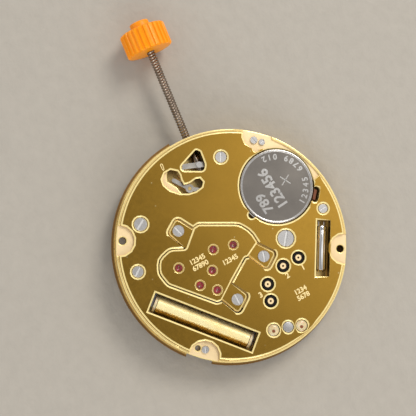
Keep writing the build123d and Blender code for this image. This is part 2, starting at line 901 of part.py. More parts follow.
def third_wheel():
    """The third wheel, with the pinion that drives the transfer wheel."""
    start = meshed_start(0, third_leaves, 0, third_teeth) + heading(second_at, third_at)
    wheel = train_wheel(third_at, third_teeth, third_pitch, start, 3)
    turn = heading(third_at, transfer_at)
    return wheel + arbor(third_at) + train_pinion(third_at, transfer_leaves, transfer_drive, turn, 0)


def transfer_wheel():
    """The transfer wheel, with the pinion that drives the centre wheel."""
    start = meshed_start(0, transfer_leaves, 0, transfer_teeth) + heading(third_at, transfer_at)
    wheel = train_wheel(transfer_at, transfer_teeth, transfer_pitch, start, 0)
    turn = heading(transfer_at, centre_at)
    return wheel + arbor(transfer_at) + train_pinion(transfer_at, centre_leaves, centre_drive, turn, 2)


def centre_wheel():
    """The centre wheel, whose arbor turns once an hour and carries the cannon pinion."""
    start = meshed_start(0, centre_leaves, 0, centre_teeth) + heading(transfer_at, centre_at)
    wheel = train_wheel(centre_at, centre_teeth, centre_pitch, start, 2)
    return wheel + arbor(centre_at, -centre_reach, arbor_radius)


def cannon_pinion():
    """The pipe that carries the minute hand, with ten leaves, held on the centre arbor by friction."""
    start = minute_direction
    top = minute_level + motion_wheel_thick + pinion_overhang
    pinion = toothed(centre_at, cannon_teeth, cannon_drive, start, minute_level - pinion_overhang, top)
    pinion += true_disc(cannon_radius, -cannon_reach, -hour_pipe_reach)
    pinion += disc(cannon_radius, -hour_pipe_reach, minute_level)
    return pinion - disc(arbor_radius + running_gap, -cannon_reach, top)


def minute_wheel():
    """The wheel and pinion that gear the cannon pinion down to the hour wheel."""
    start = meshed_start(minute_direction, cannon_teeth, minute_direction, minute_teeth)
    high = minute_level + motion_wheel_thick
    wheel = toothed(minute_at, minute_teeth, minute_pitch, start, minute_level, high, True)
    turn = minute_direction + 180
    pinion = toothed(minute_at, minute_leaves, minute_drive, turn, hour_level - cock_gap, minute_level)
    wheel += pinion
    return wheel - disc(motion_post_radius + running_gap, 0, motion_recess_depth, minute_at)


def hour_wheel():
    """The wheel whose pipe carries the hour hand."""
    start = meshed_start(minute_direction + 180, minute_leaves, minute_direction + 180, hour_teeth)
    high = hour_level + motion_wheel_thick
    wheel = slab(gear(hour_teeth, hour_pitch, start), hour_level, high)
    wheel += true_disc(hour_pipe_radius, -hour_pipe_reach, high)
    bore = RegularPolygon(cannon_radius + running_gap, middle_sides)
    return wheel - slab(bore, -hour_pipe_reach, high)


def setting_wheel():
    """The small wheel that the stem's clutch turns to set the hands."""
    minute_start = meshed_start(minute_direction, cannon_teeth, minute_direction, minute_teeth)
    turn = heading(minute_at, setting_at)
    start = meshed_start(minute_start, minute_teeth, turn, setting_teeth)
    high = minute_level + motion_wheel_thick
    wheel = toothed(setting_at, setting_teeth, setting_pitch, start, minute_level, high)
    wheel += disc(2 * motion_post_radius, cock_thick + cock_gap, high, setting_at)
    return wheel - disc(motion_post_radius + running_gap, 0, motion_recess_depth, setting_at)


def cock_sketch(extra):
    """The outline of the thin cock that keeps the minute and setting wheels in place."""
    first, middle, last = [spot(share) for share in cock_shares]
    shape = link(first, middle, cock_width + 2 * extra) + link(middle, last, cock_width + 2 * extra)
    return shape


def motion_cock():
    """The thin steel cock over the minute and setting wheels, with two screw holes."""
    shape = cock_sketch(0) - Circle(hour_pipe_radius + motion_gap)
    cock = slab(shape, 0, cock_thick)
    for place in cock_screw_places():
        cock -= Pos(place[0], place[1], 0) * cock_screw_head(cock_gap)
    return cock


def cock_screw_places():
    """The two ends of the cock, where its screws stand."""
    return [spot(cock_shares[0]), spot(cock_shares[-1])]


def cock_screw_head(extra):
    """The cone of a flush screw head, or with some extra its seat in the cock."""
    neck = Pos(0, 0, cock_thick) * ring(cock_shank + extra)
    return loft((RegularPolygon(cock_head + extra, tiny_sides), neck), ruled=True)


def cock_screws():
    """Two flush screws that hold the cock from the dial side."""
    screws = []
    for place in cock_screw_places():
        body = Pos(place[0], place[1], 0) * cock_screw_head(0)
        body += disc(cock_shank, cock_thick, motion_recess_depth, place)
        body -= slab(strip(3 * cock_head, slot_width, place, minute_direction), 0, cock_thick / 2)
        screws.append(body)
    return screws


def axle(radius, start, end):
    """A round bar along the stem's axis from one place on X to another."""
    face = Pos(start, 0, stem_height) * Rot(0, 90, 0) * ring(radius)
    return extrude(face, amount=end - start, dir=(1, 0, 0))


def axle_box(side, start, end):
    """A square bar along the stem's axis."""
    bar = Box(end - start, side, side, align=(Align.MIN, Align.CENTER, Align.CENTER))
    return Pos(start, 0, stem_height) * bar


def winding_stem():
    """The stem: pilot, square for the clutch, body with the lever's groove and a threaded rod."""
    stem = axle(stem_pilot_radius, pilot_start, square_start)
    stem += axle_box(stem_square, square_start, shoulder_start)
    stem += axle(stem_radius, shoulder_start, thread_start)
    stem += axle(thread_radius, thread_start, crown_start + crown_socket_depth)
    groove = lever_pivot[0] - stem_pull / 2
    sleeve = axle(stem_radius, groove - stem_groove_width / 2, groove + stem_groove_width / 2)
    sleeve -= axle(stem_groove_radius, groove - stem_groove_width / 2, groove + stem_groove_width / 2)
    return stem - sleeve


def crown_section(place, inset):
    """The crown's ribbed section at a place along the stem, drawn in by an inset."""
    points = []
    step = 360 / crown_ribs
    valley = crown_radius - crown_rib_depth
    for n in range(crown_ribs):
        for radius, half in ((valley, -rib_root_share), (crown_radius, 0), (valley, rib_root_share)):
            points.append(polar(radius - inset, (n + half) * step))
    return Pos(place, 0, stem_height) * Rot(0, 90, 0) * Polygon(*points, align=None)


def crown():
    """The ribbed plastic crown with a round boss at its end and a socket for the stem."""
    end = crown_start + crown_length
    sections = (
        crown_section(crown_start, crown_edge),
        crown_section(crown_start + crown_edge, 0),
        crown_section(end - crown_edge, 0),
        crown_section(end, crown_edge),
    )
    body = loft(sections, ruled=True)
    body += axle(crown_boss_radius, end, end + crown_boss_length)
    return body - axle(thread_radius + crown_fit, crown_start, crown_start + crown_socket_depth)


def sliding_clutch():
    """The clutch on the stem's square: a groove for the yoke and face teeth at its inner end."""
    end = clutch_front + clutch_length
    middle = clutch_front + clutch_groove_offset
    clutch = axle(clutch_radius, clutch_front, end)
    sleeve = axle(clutch_radius, middle - clutch_groove_width / 2, middle + clutch_groove_width / 2)
    sleeve -= axle(clutch_groove_radius, middle - clutch_groove_width / 2, middle + clutch_groove_width / 2)
    clutch -= sleeve
    width = 2 * clutch_radius * math.sin(math.pi / clutch_teeth) * root_half_share
    for n in range(clutch_teeth // 2):
        cut = Box(2 * clutch_tooth_depth, width, 2 * clutch_radius)
        clutch -= Pos(clutch_front, 0, stem_height) * Rot(n * 360 / clutch_teeth, 0, 0) * cut
    return clutch - axle_box(stem_square + 2 * square_gap, clutch_front, end)


def groove_pin(place, groove_radius, high):
    """A pin that drops into a groove round the stem's axis."""
    foot = stem_height + groove_radius + lever_pin_dip
    return disc(lever_pin_radius, foot, high, place)


def lever_pin_place():
    """The place of the setting lever's pin in the stem's groove, with the crown pushed in."""
    return (lever_pivot[0] - stem_pull / 2, 0)


def lever_pin():
    """The pin that hangs by its head in the setting lever and stands in the stem's groove."""
    seat = lever_low + lever_thick + running_gap
    pin = groove_pin(lever_pin_place(), stem_groove_radius, seat)
    return pin + disc(lever_pin_head, seat, seat + lever_pin_head_thick, lever_pin_place())


def setting_lever():
    """The lever that follows the stem's groove and turns when the crown is pulled."""
    pin_at = lever_pin_place()
    reach = span(lever_pivot, pin_at)
    tail = 1 + lever_tail / reach
    tip = tuple(a + (b - a) * tail for a, b in zip(lever_pivot, pin_at))
    shape = link(lever_pivot, tip, lever_width) + Pos(*lever_pivot) * ring(lever_hub_radius)
    shape -= Pos(*lever_pivot) * ring(post_radius + running_gap)
    shape -= Pos(*pin_at) * ring(lever_pin_radius + lever_pin_play)
    return slab(shape, lever_low, lever_low + lever_thick)


def yoke():
    """The two-armed lever that pushes the clutch towards the setting wheel."""
    pin_at = (clutch_pin_x, 0)
    shape = link(yoke_pivot, pin_at, yoke_width) + link(yoke_pivot, spot(yoke_tail_share), yoke_width)
    shape += Pos(*yoke_pivot) * ring(lever_hub_radius)
    shape -= Pos(*yoke_pivot) * ring(post_radius + running_gap)
    arm = slab(shape, lever_low, lever_low + lever_thick)
    return arm + groove_pin(pin_at, clutch_groove_radius, lever_low)


def jumper_spring():
    """The flat spring that clicks the setting lever into its two places."""
    places = [spot(share) for share in jumper_shares]
    shape = Pos(*places[0]) * ring(jumper_pad_radius)
    for first, second in zip(places, places[1:]):
        shape += link(first, second, jumper_width)
    shape -= Pos(*places[0]) * ring(shank_radius + shank_gap)
    return slab(shape, lever_low, lever_low + lever_thick)


def stator():
    """The soft iron plate that leads the coil's field round the rotor."""
    plate = slab(stator_sketch(0), stator_low, stator_top)
    plate -= disc(stator_hole_radius, stator_low, stator_top, rotor_at)
    for place in stator_screws:
        plate -= disc(shank_radius + shank_gap, stator_low, stator_top, place)
    return plate


def stator_screw_set():
    """Two screws that hold the stator to the plate."""
    high = stator_top + head_thick
    depth = stator_top - coil_bay_floor - end_shake
    return [screw(place, stator_head, stator_top, high, shank_radius, depth, 0) for place in stator_screws]


def stator_screw_bores():
    """The holes in the plate for the stator's screws."""
    return [disc(shank_radius + shank_gap, coil_bay_floor, web_top, place) for place in stator_screws]


def along_coil(shape):
    """Lays a shape that was made along X on the coil's axis."""
    return Pos(coil_at[0], coil_at[1], coil_height) * Rot(0, 0, coil_turn) * shape


def coil_core():
    """The core through the winding, whose ends rest on the stator's feet."""
    return along_coil(Box(coil_window_length, coil_core_width, coil_core_thick))


def coil_cheeks():
    """The two round cheeks of the coil's former."""
    cheeks = []
    for side in (-1, 1):
        middle = side * (coil_length + coil_cheek_thick) / 2
        cheek = Rot(0, 90, 0) * extrude(ring(coil_cheek_radius), amount=coil_cheek_thick / 2, both=True)
        cheek = Pos(middle, 0, 0) * cheek
        cheek -= Box(coil_window_length, coil_core_width, coil_core_thick)
        cheeks.append(along_coil(cheek))
    return cheeks


def helix_point(turn, radius, pitch, start):
    """A point on the helix about X after so many turns."""
    angle = 2 * math.pi * turn
    return Vector(start + pitch * turn, radius * math.cos(angle), radius * math.sin(angle))


def helix_tangent(turn, radius, pitch):
    """The helix's unit direction at that point."""
    angle = 2 * math.pi * turn
    circle = 2 * math.pi * radius
    return Vector(pitch, -circle * math.sin(angle), circle * math.cos(angle)).normalized()


def helix_path(turns, radius, pitch, start):
    """The helix as pairs of tangent arcs, each pair half a turn long."""
    edges = []
    for n in range(2 * turns):
        a, b = (helix_point(k / 2, radius, pitch, start) for k in (n, n + 1))
        ta, tb = (helix_tangent(k / 2, radius, pitch) for k in (n, n + 1))
        v, t = b - a, ta + tb
        bend = 1 - ta.dot(tb)
        reach = (-v.dot(t) + math.sqrt(v.dot(t) ** 2 + 2 * bend * v.dot(v))) / (2 * bend)
        middle = (a + b + (ta - tb) * reach) / 2
        first = Edge.make_tangent_arc(a, ta, middle)
        second = Edge.make_tangent_arc(middle, first % 1, b)
        edges += [first, second]
    return Wire(edges)


def coil_winding():
    """The winding: its inner layers as a plain core and its outer layer as one tube of turns."""
    core = Rot(0, 90, 0) * extrude(ring(coil_former_radius), amount=coil_length / 2, both=True)
    core -= Box(coil_window_length, coil_core_width, coil_core_thick)
    radius = coil_former_radius + coil_wire_gap + coil_wire / 2
    pitch = (coil_length - 2 * coil_wire) / coil_turns
    start = -coil_turns * pitch / 2
    path = helix_path(coil_turns, radius, pitch, start)
    section = Plane(origin=path @ 0, z_dir=path % 0) * RegularPolygon(coil_wire / 2, 3)
    tube = sweep(section, path)
    print("least gap of the winding to itself", round(pitch - coil_wire, 3))
    return [along_coil(core), along_coil(tube)]


def quartz_crystal():
    """The quartz crystal in its can, with two leads at one end."""
    can = Rot(0, 90, 0) * extrude(ring(crystal_radius), amount=crystal_length / 2, both=True)
    ends = can.faces().sort_by(Axis.X)
    can = chamfer(ends[0].edges() + ends[-1].edges(), crystal_edge)
    for side in (-1, 1):
        end = Pos(crystal_length / 2, side * crystal_lead_spread, 0) * Rot(0, 90, 0) * ring(crystal_lead_radius)
        can += extrude(end, amount=crystal_lead_length, dir=(1, 0, 0))
    return Pos(crystal_at[0], crystal_at[1], crystal_axis_height) * Rot(0, 0, crystal_turn) * can


def circuit_board():
    """The board, with holes for the posts at the rim."""
    board = slab(board_sketch(), board_seat, board_top)
    for share in rivet_shares + (locating_share,):
        board -= disc(rivet_shank + shank_gap, board_seat, board_top, spot(share))
    return board


def control_chip():
    """The integrated circuit under the board."""
    side = strip(chip_side, chip_side, spot(chip_share), crystal_turn)
    return slab(side, board_seat - chip_thick, board_seat)


def test_contacts():
    """Four gilt contact posts on the board, with a dimple in each."""
    posts = []
    for share in contact_shares:
        high = cover_top - contact_drop
        post = disc(contact_radius, board_top, high, spot(share))
        post -= disc(contact_dimple_radius, high - contact_dimple_depth, high, spot(share))
        posts.append(post)
    return posts


def contact_bushes():
    """Black bushes that keep the contacts clear of the cover."""
    bushes = []
    for share in contact_shares:
        high = cover_top - bush_drop
        bush = disc(bush_radius, board_top, high, spot(share))
        bush -= disc(contact_radius + bush_gap, board_top, high, spot(share))
        bushes.append(bush)
    return bushes


def slotted_post():
    """The large slotted post between the cell and the contacts."""
    low = plate_top
    return screw(spot(post_share), post_head, low, cover_top - bush_drop, post_shank, shank_length,
                 screw_slots["post"], 2 * slot_depth)


def module_rivets():
    """Two moulded rivets that hold the board at the rim."""
    rivets = []
    for share in rivet_shares:
        head = disc(rivet_head, board_top, cover_top - rivet_drop, spot(share))
        rivets.append(head + disc(rivet_shank, board_seat - rivet_depth, board_top, spot(share)))
    return rivets


def locating_pin():
    """The steel pin between the two rivets."""
    head = disc(locating_radius, board_top, cover_top - locating_drop, spot(locating_share))
    return head + disc(rivet_shank, board_seat - rivet_depth, board_top, spot(locating_share))


def battery():
    """The cell: a can with rolled edges, positive side up, over its smaller negative cap."""
    shoulder = cell_low + cell_cap_height
    can = disc(cell_radius, shoulder, cell_top, cell_at)
    can = chamfer(can.edges().filter_by(GeomType.CIRCLE).sort_by(Axis.Z)[-1], cell_edge)
    return can + slab(Pos(*cell_at) * RegularPolygon(cell_cap_radius, middle_sides), cell_low, shoulder)


def battery_insulator():
    """The sheet under the cell, with a tab that stands up beside it."""
    sheet = Pos(*cell_at) * RegularPolygon(cell_radius, middle_sides)
    sheet = slab(sheet, cell_bay_floor, cell_bay_floor + insulator_thick)
    first, last = brown_notch_ends()
    notch = ((first[0] + last[0]) / 2, (first[1] + last[1]) / 2)
    turn = heading(cell_at, notch)
    reach = span(cell_at, notch)
    tab = strip(insulator_tab_thick, insulator_tab_width, notch, turn)
    x, y = polar(reach / 2, turn)
    foot = strip(reach, insulator_tab_width, (cell_at[0] + x, cell_at[1] + y), turn)
    sheet += slab(foot, cell_bay_floor, cell_bay_floor + insulator_thick)
    return sheet + slab(tab, cell_bay_floor, plate_top)


def minus_contact():
    """The leaf spring under the cell's cap: a hub and three leaves with raised tips."""
    low = cell_bay_floor + insulator_thick
    spring = Pos(*cell_at) * ring(minus_hub_radius)
    leaves = [polar(minus_leaf_length, turn) for turn in (30, 150, 270)]
    tips = [(cell_at[0] + x, cell_at[1] + y) for x, y in leaves]
    for tip in tips:
        spring += link(cell_at, tip, minus_leaf_width)
    plate = slab(spring, low, low + minus_thick)
    for tip in tips:
        plate += disc(minus_dimple_radius, low + minus_thick, low + minus_thick + minus_rise, tip)
    return plate


def plus_contact():
    """The finger in the pocket beside the cell that touches its can."""
    turn = heading(cell_at, plus_notch())
    x, y = polar(cell_radius + plus_gap + plus_thick / 2, turn)
    finger = strip(plus_thick, plus_width, (cell_at[0] + x, cell_at[1] + y), turn)
    return slab(finger, cell_bay_floor + insulator_thick, plate_top)


def drilled_plate():
    """The plate with the blind holes of the lug and stator screws."""
    plate = main_plate()
    for bore in lug_screw_bores() + stator_screw_bores():
        plate -= bore
    return plate


PARTS = {
    "main_plate": drilled_plate,
    "cover_plate": cover_plate,
    "train_bridge": train_bridge,
    "upper_jewels": upper_jewels,
    "lower_jewels": lower_jewels,
    "bridge_screws": bridge_screws,
    "cover_screws": cover_screw_set,
    "lug_screws": lug_screw_set,
    "slotted_post": slotted_post,
    "module_rivets": module_rivets,
    "locating_pin": locating_pin,
    "circuit_board": circuit_board,
    "control_chip": control_chip,
    "test_contacts": test_contacts,
    "contact_bushes": contact_bushes,
    "quartz_crystal": quartz_crystal,
    "stator": stator,
    "stator_screws": stator_screw_set,
    "coil_core": coil_core,
    "coil_cheeks": coil_cheeks,
    "coil_winding": coil_winding,
    "battery": battery,
    "battery_insulator": battery_insulator,
    "minus_contact": minus_contact,
    "plus_contact": plus_contact,
    "rotor_magnet": rotor_magnet,
    "rotor_pinion": rotor_pinion,
    "second_wheel": second_wheel,
    "seconds_wheel": seconds_wheel,
    "third_wheel": third_wheel,
    "transfer_wheel": transfer_wheel,
    "centre_wheel": centre_wheel,
    "cannon_pinion": cannon_pinion,
    "minute_wheel": minute_wheel,
    "hour_wheel": hour_wheel,
    "setting_wheel": setting_wheel,
    "motion_cock": motion_cock,
    "cock_screws": cock_screws,
    "winding_stem": winding_stem,
    "crown": crown,
    "sliding_clutch": sliding_clutch,
    "setting_lever": setting_lever,
    "lever_pin": lever_pin,
    "yoke": yoke,
    "jumper_spring": jumper_spring,
}


def write_parts():
    """Builds each piece and writes it to its own file."""
    os.makedirs("parts", exist_ok=True)
    for name, make in PARTS.items():
        made = make()
        solids = made if isinstance(made, list) else [made]
        shape = Compound([solid for piece in solids for solid in piece.solids()])
        shape.label = name
        export_step(shape, f"parts/{name}.step")


write_parts()
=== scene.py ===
import math

import bmesh
import bpy
import numpy as np
from bpy.props import FloatProperty, FloatVectorProperty, IntProperty, PointerProperty
from mathutils import Matrix, Vector
from mathutils.geometry import delaunay_2d_cdt


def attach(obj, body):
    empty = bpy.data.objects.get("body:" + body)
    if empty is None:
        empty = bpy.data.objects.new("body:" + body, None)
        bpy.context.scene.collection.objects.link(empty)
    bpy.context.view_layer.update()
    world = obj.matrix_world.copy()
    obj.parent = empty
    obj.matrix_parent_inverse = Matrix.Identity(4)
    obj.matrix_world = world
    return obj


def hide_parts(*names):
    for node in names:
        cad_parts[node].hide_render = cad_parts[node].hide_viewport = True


bl_info = {
    "name": "Quartz watch movement",
    "version": (1, 0, 0),
    "blender": (4, 5, 0),
    "location": "View3D > Sidebar > Movement",
    "description": "Dresses a round gilt quartz watch movement on its packed frame",
    "category": "Object",
}

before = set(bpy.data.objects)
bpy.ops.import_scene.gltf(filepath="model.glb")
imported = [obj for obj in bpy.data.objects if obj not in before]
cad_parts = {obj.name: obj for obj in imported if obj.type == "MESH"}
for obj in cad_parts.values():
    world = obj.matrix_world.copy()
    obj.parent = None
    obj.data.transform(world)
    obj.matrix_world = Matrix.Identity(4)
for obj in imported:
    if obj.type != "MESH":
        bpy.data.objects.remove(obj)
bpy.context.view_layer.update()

# One millimetre in metres. All places below are in millimetres from the hand centre, z = 0 is the
# face under the dial, +X runs out along the stem and +Y towards six o'clock.
MM = 0.001

# Levels and radii
COVER_TOP = 2.5
BRIDGE_TOP = 2.45
CELL_TOP = 2.37
RIM_TOP = 2.3
EAR_TOP = 2.2
PLATE_TOP = 2.1
BOARD_TOP = 1.95
COIL_HEIGHT = 1.15
CRYSTAL_HEIGHT = 1.25
STEM_HEIGHT = 1.05
PAD_RADIUS = 12.4
FLANGE_RADIUS = 12.6

# Places on the plan, and directions in degrees
JEWEL_PLACES = (
    (0.0, 0.0), (0.345, 2.142), (-1.618, 3.070),
    (-0.048, 6.212), (-2.547, 4.843), (-3.689, 3.368),
)
CONTACT_PLACES = ((-3.891, -5.867), (-4.070, -4.010), (-5.188, -1.761), (-6.926, -1.357))
RIVET_PLACES = ((-9.818, -0.464), (-10.555, -3.380))
LOCATING_PLACE = (-10.127, -1.999)
CELL_PLACE = (3.903, -6.700)
PLUS_PLACE = (4.16, -7.80)
COIL_PLACE = (-6.206, 5.993)
COIL_TURN = 226.0
CRYSTAL_PLACE = (-4.013, -8.725)
CRYSTAL_TURN = -24.7
POINTER_PLACE = (10.27, 3.77)

# Screws as place, head radius, low and high face of the head, slot angle
COVER_SCREWS = (
    ((5.641, 8.140), 0.70, 2.27, 2.47, -53.0),
    ((1.226, 10.270), 0.60, 2.27, 2.47, -48.0),
    ((-0.143, -10.365), 0.50, 2.27, 2.47, -78.0),
    ((8.961, -2.356), 0.60, 2.27, 2.47, -23.0),
)
BRIDGE_SCREWS = (
    ((3.522, 4.760), 0.62, 2.20, 2.40, 21.0),
    ((-2.356, -2.535), 0.62, 2.20, 2.40, -13.0),
    ((-5.415, 1.797), 0.62, 2.20, 2.40, 6.0),
)
LUG_SCREWS = (
    ((-8.866, 6.890), 0.40, 2.10, 2.30, -20.0),
    ((9.318, -6.355), 0.40, 2.10, 2.30, 15.0),
    ((8.806, -7.081), 0.335, 2.10, 2.30, -60.0),
)
POST = ((-1.523, -5.415), 0.88, 2.10, 2.42, -33.0)

# Heads: bevel of the edge, least width of the slot and its share of the radius, the share of the
# slot that its inner rows keep to, and the grid of the top
HEAD_BEVEL = 0.05
SLOT_LEAST, SLOT_SHARE, SLOT_FLOOR = 0.06, 0.2, 0.7
HEAD_ROWS, HEAD_COLUMNS, HEAD_SIDES = 40, 13, 48

# Meshes: points closer than the first are one, edges shorter than the second go, and the third
# joins the loose triangles of a CAD node, whose faces are one where they bend by less than an
# angle. The last is how near a line two points of a filled face may lie.
MERGE_DISTANCE = 0.0005
SHORT_EDGE = 0.0004
CAD_MERGE_DISTANCE = 0.002
CAD_FLAT_ANGLE = 0.5
FILL_TOLERANCE = 0.000001

# Plates: what counts as the same height, a level face, a steep wall and an opposite line, the
# angle over which an edge stays sharp, and the normal from which a face is shaded flat
HEIGHT_TOLERANCE = 0.01
LEVEL_NORMAL = 0.9
STEEP_NORMAL = 0.7
FACING_SHARE = 0.7
NO_DISTANCE = 0.0001
PLATE_SHARP_ANGLE = 12.0
FLAT_NORMAL = 0.999

# Rounded edges: the least divisor at a sharp corner, the share of the free room that an edge may
# take, how much narrower it is round a jewel and how far that reaches, and where its three strips
# meet, as angles of the quarter ellipse
CORNER_LEAST = 0.4
ROOM_SHARE = 0.4
SINK_SHARE, SINK_REACH = 0.4, 0.7
STRIP_ANGLES = (30, 60)
STRIPS = len(STRIP_ANGLES) + 1

# Each plate as name, CAD node, heights of its rounded edges, their width and depth as shares of
# the edge width, finishes of faces, edges and pads, slot, and the radius that the pads keep to
PLATES = (
    ("cover", "cover_plate", (COVER_TOP,), 1.0, 0.6, ("gilt", "gilt_edge_highlight"), "cover_gilt", 0.0),
    ("bridge", "train_bridge", (BRIDGE_TOP, EAR_TOP), 1.0, 0.6, ("gilt", "gilt_edge_highlight"),
     "bridge_gilt", 0.0),
    ("plate", "main_plate", (RIM_TOP, PLATE_TOP), 0.6, 0.5,
     ("gilt_rim", "gilt_edge_highlight", "gilt_frost"), "plate_gilt", PAD_RADIUS),
)


# Surfaces

def full_turn(sides):
    """The angles of a full turn, one for each side."""
    return np.linspace(0, 2 * np.pi, sides, endpoint=False)


def arc(centre, radii, first, last, steps):
    """Points of an arc: the centre plus the two radii times the sine and the cosine of an angle."""
    return [
        (centre[0] + radii[0] * math.sin(t), centre[1] + radii[1] * math.cos(t))
        for t in np.linspace(first, last, steps)
    ]


def on_plan(x, y, place, turn):
    """Coordinates on the plan, turned about the vertical by some degrees and moved to a place."""
    cos, sin = math.cos(math.radians(turn)), math.sin(math.radians(turn))
    return place[0] + x * cos - y * sin, place[1] + x * sin + y * cos


def grid_faces(rows, columns, wrap_rows=False, wrap_columns=False):
    """The quads of a grid: each joins a row and a column to the next ones, round to the first where
    it wraps."""
    r = np.arange(rows if wrap_rows else rows - 1)
    c = np.arange(columns if wrap_columns else columns - 1)
    r, c = np.meshgrid(r, c, indexing="ij")
    r2, c2 = (r + 1) % rows, (c + 1) % columns
    corners = (r * columns + c, r * columns + c2, r2 * columns + c2, r2 * columns + c)
    return np.stack(corners, -1).reshape(-1, 4)


def sheet(points, wrap_rows=False, wrap_columns=False, finish=0):
    """A grid of points as (points, faces, finish index)."""
    rows, columns = points.shape[:2]
    return points.reshape(-1, 3), grid_faces(rows, columns, wrap_rows, wrap_columns), finish


def turned(profile, place, sides, finish=0):
    """A turned shape: each (radius, height) of the profile runs round the vertical through a
    place."""
    r, z = np.array(profile, float).T
    angle = full_turn(sides)
    x = place[0] + np.outer(r, np.cos(angle))
    y = place[1] + np.outer(r, np.sin(angle))
    points = np.stack((x, y, np.repeat(z[:, None], sides, 1)), -1)
    return sheet(points, wrap_columns=True, finish=finish)


def slotted_head(place, radius, low, high, turn, depth):
    """A slotted screw head. Its top is a disc of chords: row by row across the slot, half a chord
    is the root of radius squared less the row's distance squared, and the rows inside the slot lie
    lower by its depth. A turned rim with a bevelled edge closes it."""
    top = radius - HEAD_BEVEL
    half = (SLOT_LEAST + SLOT_SHARE * radius) / 2
    y = top * np.sin(np.linspace(-np.pi / 2, np.pi / 2, HEAD_ROWS))
    middle = y[np.abs(y) < half * SLOT_FLOOR]
    y = np.concatenate((y[y < -half], [-half, -half], middle, [half, half], y[y > half]))
    inside = np.abs(y) < half
    low_edge = np.flatnonzero(np.isclose(np.abs(y), half))
    inside[low_edge[1]] = inside[low_edge[2]] = True
    x = np.linspace(-1, 1, HEAD_COLUMNS)
    px = np.sqrt(np.maximum(top**2 - y**2, 0))[:, None] * x
    py = np.repeat(y[:, None], x.size, 1)
    pz = np.where(inside, high - depth, high)[:, None] + np.zeros_like(px)
    # The faces inside the slot take the second finish, a painted highlight
    finish = np.repeat((inside[1:] & inside[:-1]).astype(int), x.size - 1)
    points = np.stack((*on_plan(px, py, place, turn), pz), -1)
    rim = ((top, high - depth), (top, high), (radius, high - HEAD_BEVEL), (radius, low), (0, low))
    return [sheet(points, finish=finish), turned(rim, place, HEAD_SIDES)]


def along_axis(shape, place, turn):
    """Lays a shape whose axis is X through the origin on a place, turned about the vertical."""
    points, faces, finish = shape
    x, y, z = points.T
    return np.stack((*on_plan(x, y, place, turn), place[2] + z), -1), faces, finish


def round_bar(x, radius, sides, finish=0):
    """A bar along X: at each x its radius runs round the axis; radius may be a grid of x by
    angle."""
    x = np.asarray(x, float)
    angle = full_turn(sides)
    r = np.asarray(radius, float)
    if r.ndim == 1:
        r = np.repeat(r[:, None], sides, 1)
    points = np.stack((np.repeat(x[:, None], sides, 1), r * np.cos(angle), r * np.sin(angle)), -1)
    return sheet(points, wrap_columns=True, finish=finish)


def flat_bar(path, width, low, high):
    """A raised line of a width along a closed path of points on the plan. Its top is seven tenths
    as wide as its foot."""
    path = np.asarray(path, float)
    ahead = np.roll(path, -1, 0) - np.roll(path, 1, 0)
    side = np.stack((-ahead[:, 1], ahead[:, 0]), -1)
    side /= np.linalg.norm(side, axis=1)[:, None]
    rows = []
    for offset, z in ((-0.5, low), (-0.35, high), (0.35, high), (0.5, low)):
        rows.append(np.column_stack((path + side * width * offset, np.full(len(path), z))))
    return sheet(np.stack(rows), wrap_rows=True, wrap_columns=True)


def make_piece(name, shapes, finishes, body, stands_for=(), sharp_angle=35.0):
    """One object out of shapes in millimetres: points joined where they meet, normals outwards, and
    smooth but for edges sharper than an angle."""
    points, faces, indices, first = [], [], [], 0
    for shape_points, shape_faces, finish in shapes:
        points.append(shape_points)
        faces.append(np.asarray(shape_faces) + first)
        indices.append(np.full(len(shape_faces), 0) + finish)
        first += len(shape_points)
    mesh = bpy.data.meshes.new(name)
    mesh.from_pydata(np.concatenate(points).tolist(), [], np.concatenate(faces).tolist())
    mesh.polygons.foreach_set("material_index", np.concatenate(indices).astype(np.int32))
    bm = bmesh.new()
    bm.from_mesh(mesh)
    bmesh.ops.remove_doubles(bm, verts=bm.verts, dist=MERGE_DISTANCE)
    bmesh.ops.dissolve_degenerate(bm, edges=bm.edges, dist=SHORT_EDGE)
    bmesh.ops.recalc_face_normals(bm, faces=bm.faces)
    finish_piece(name, bm, mesh, finishes, body, stands_for, sharp_angle)


def finish_piece(name, bm, mesh, finishes, body, stands_for, sharp_angle):
    """Writes a mesh that is in millimetres into an object in metres, gives it its finishes, and
    ties it to its body."""
    bm.transform(Matrix.Scale(MM, 4))
    bm.to_mesh(mesh)
    bm.free()
    mesh.shade_smooth()
    mesh.set_sharp_from_angle(angle=math.radians(sharp_angle))
    for key in finishes:
        mesh.materials.append(finish_of(key))
    piece = bpy.data.objects.new(name, mesh)
    bpy.context.scene.collection.objects.link(piece)
    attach(piece, body)
    if stands_for:
        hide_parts(*stands_for)


# Plates with rounded edges

def open_edges(bm):
    """The edges that belong to one face only."""
    return [edge for edge in bm.edges if len(edge.link_faces) == 1]


def ends_of(edge):
    """The two points of an open edge, in the order in which its face runs."""
    loop = edge.link_loops[0]
    return loop.vert, loop.link_loop_next.vert


def spot(vert):
    """A point's place, rounded, so that it finds the point that was split from it."""
    return tuple(round(c, 3) for c in vert.co)


def edge_loops(bm, heights):
    """The convex edges between a level face at one of the heights and a steep wall."""
    chosen = []
    for edge in bm.edges:
        loops = sorted(edge.link_loops, key=lambda loop: loop.face.normal.z)
        at_height = any(
            all(abs(vert.co.z - height) < HEIGHT_TOLERANCE for vert in edge.verts)
            for height in heights
        )
        if len(loops) != 2 or not at_height or loops[1].face.normal.z < LEVEL_NORMAL:
            continue
        run = loops[1].link_loop_next.vert.co - loops[1].vert.co
        wall = loops[0].face.normal
        if wall.z < STEEP_NORMAL and wall.x * run.y - wall.y * run.x > 0:
            chosen.append(edge)
    return chosen


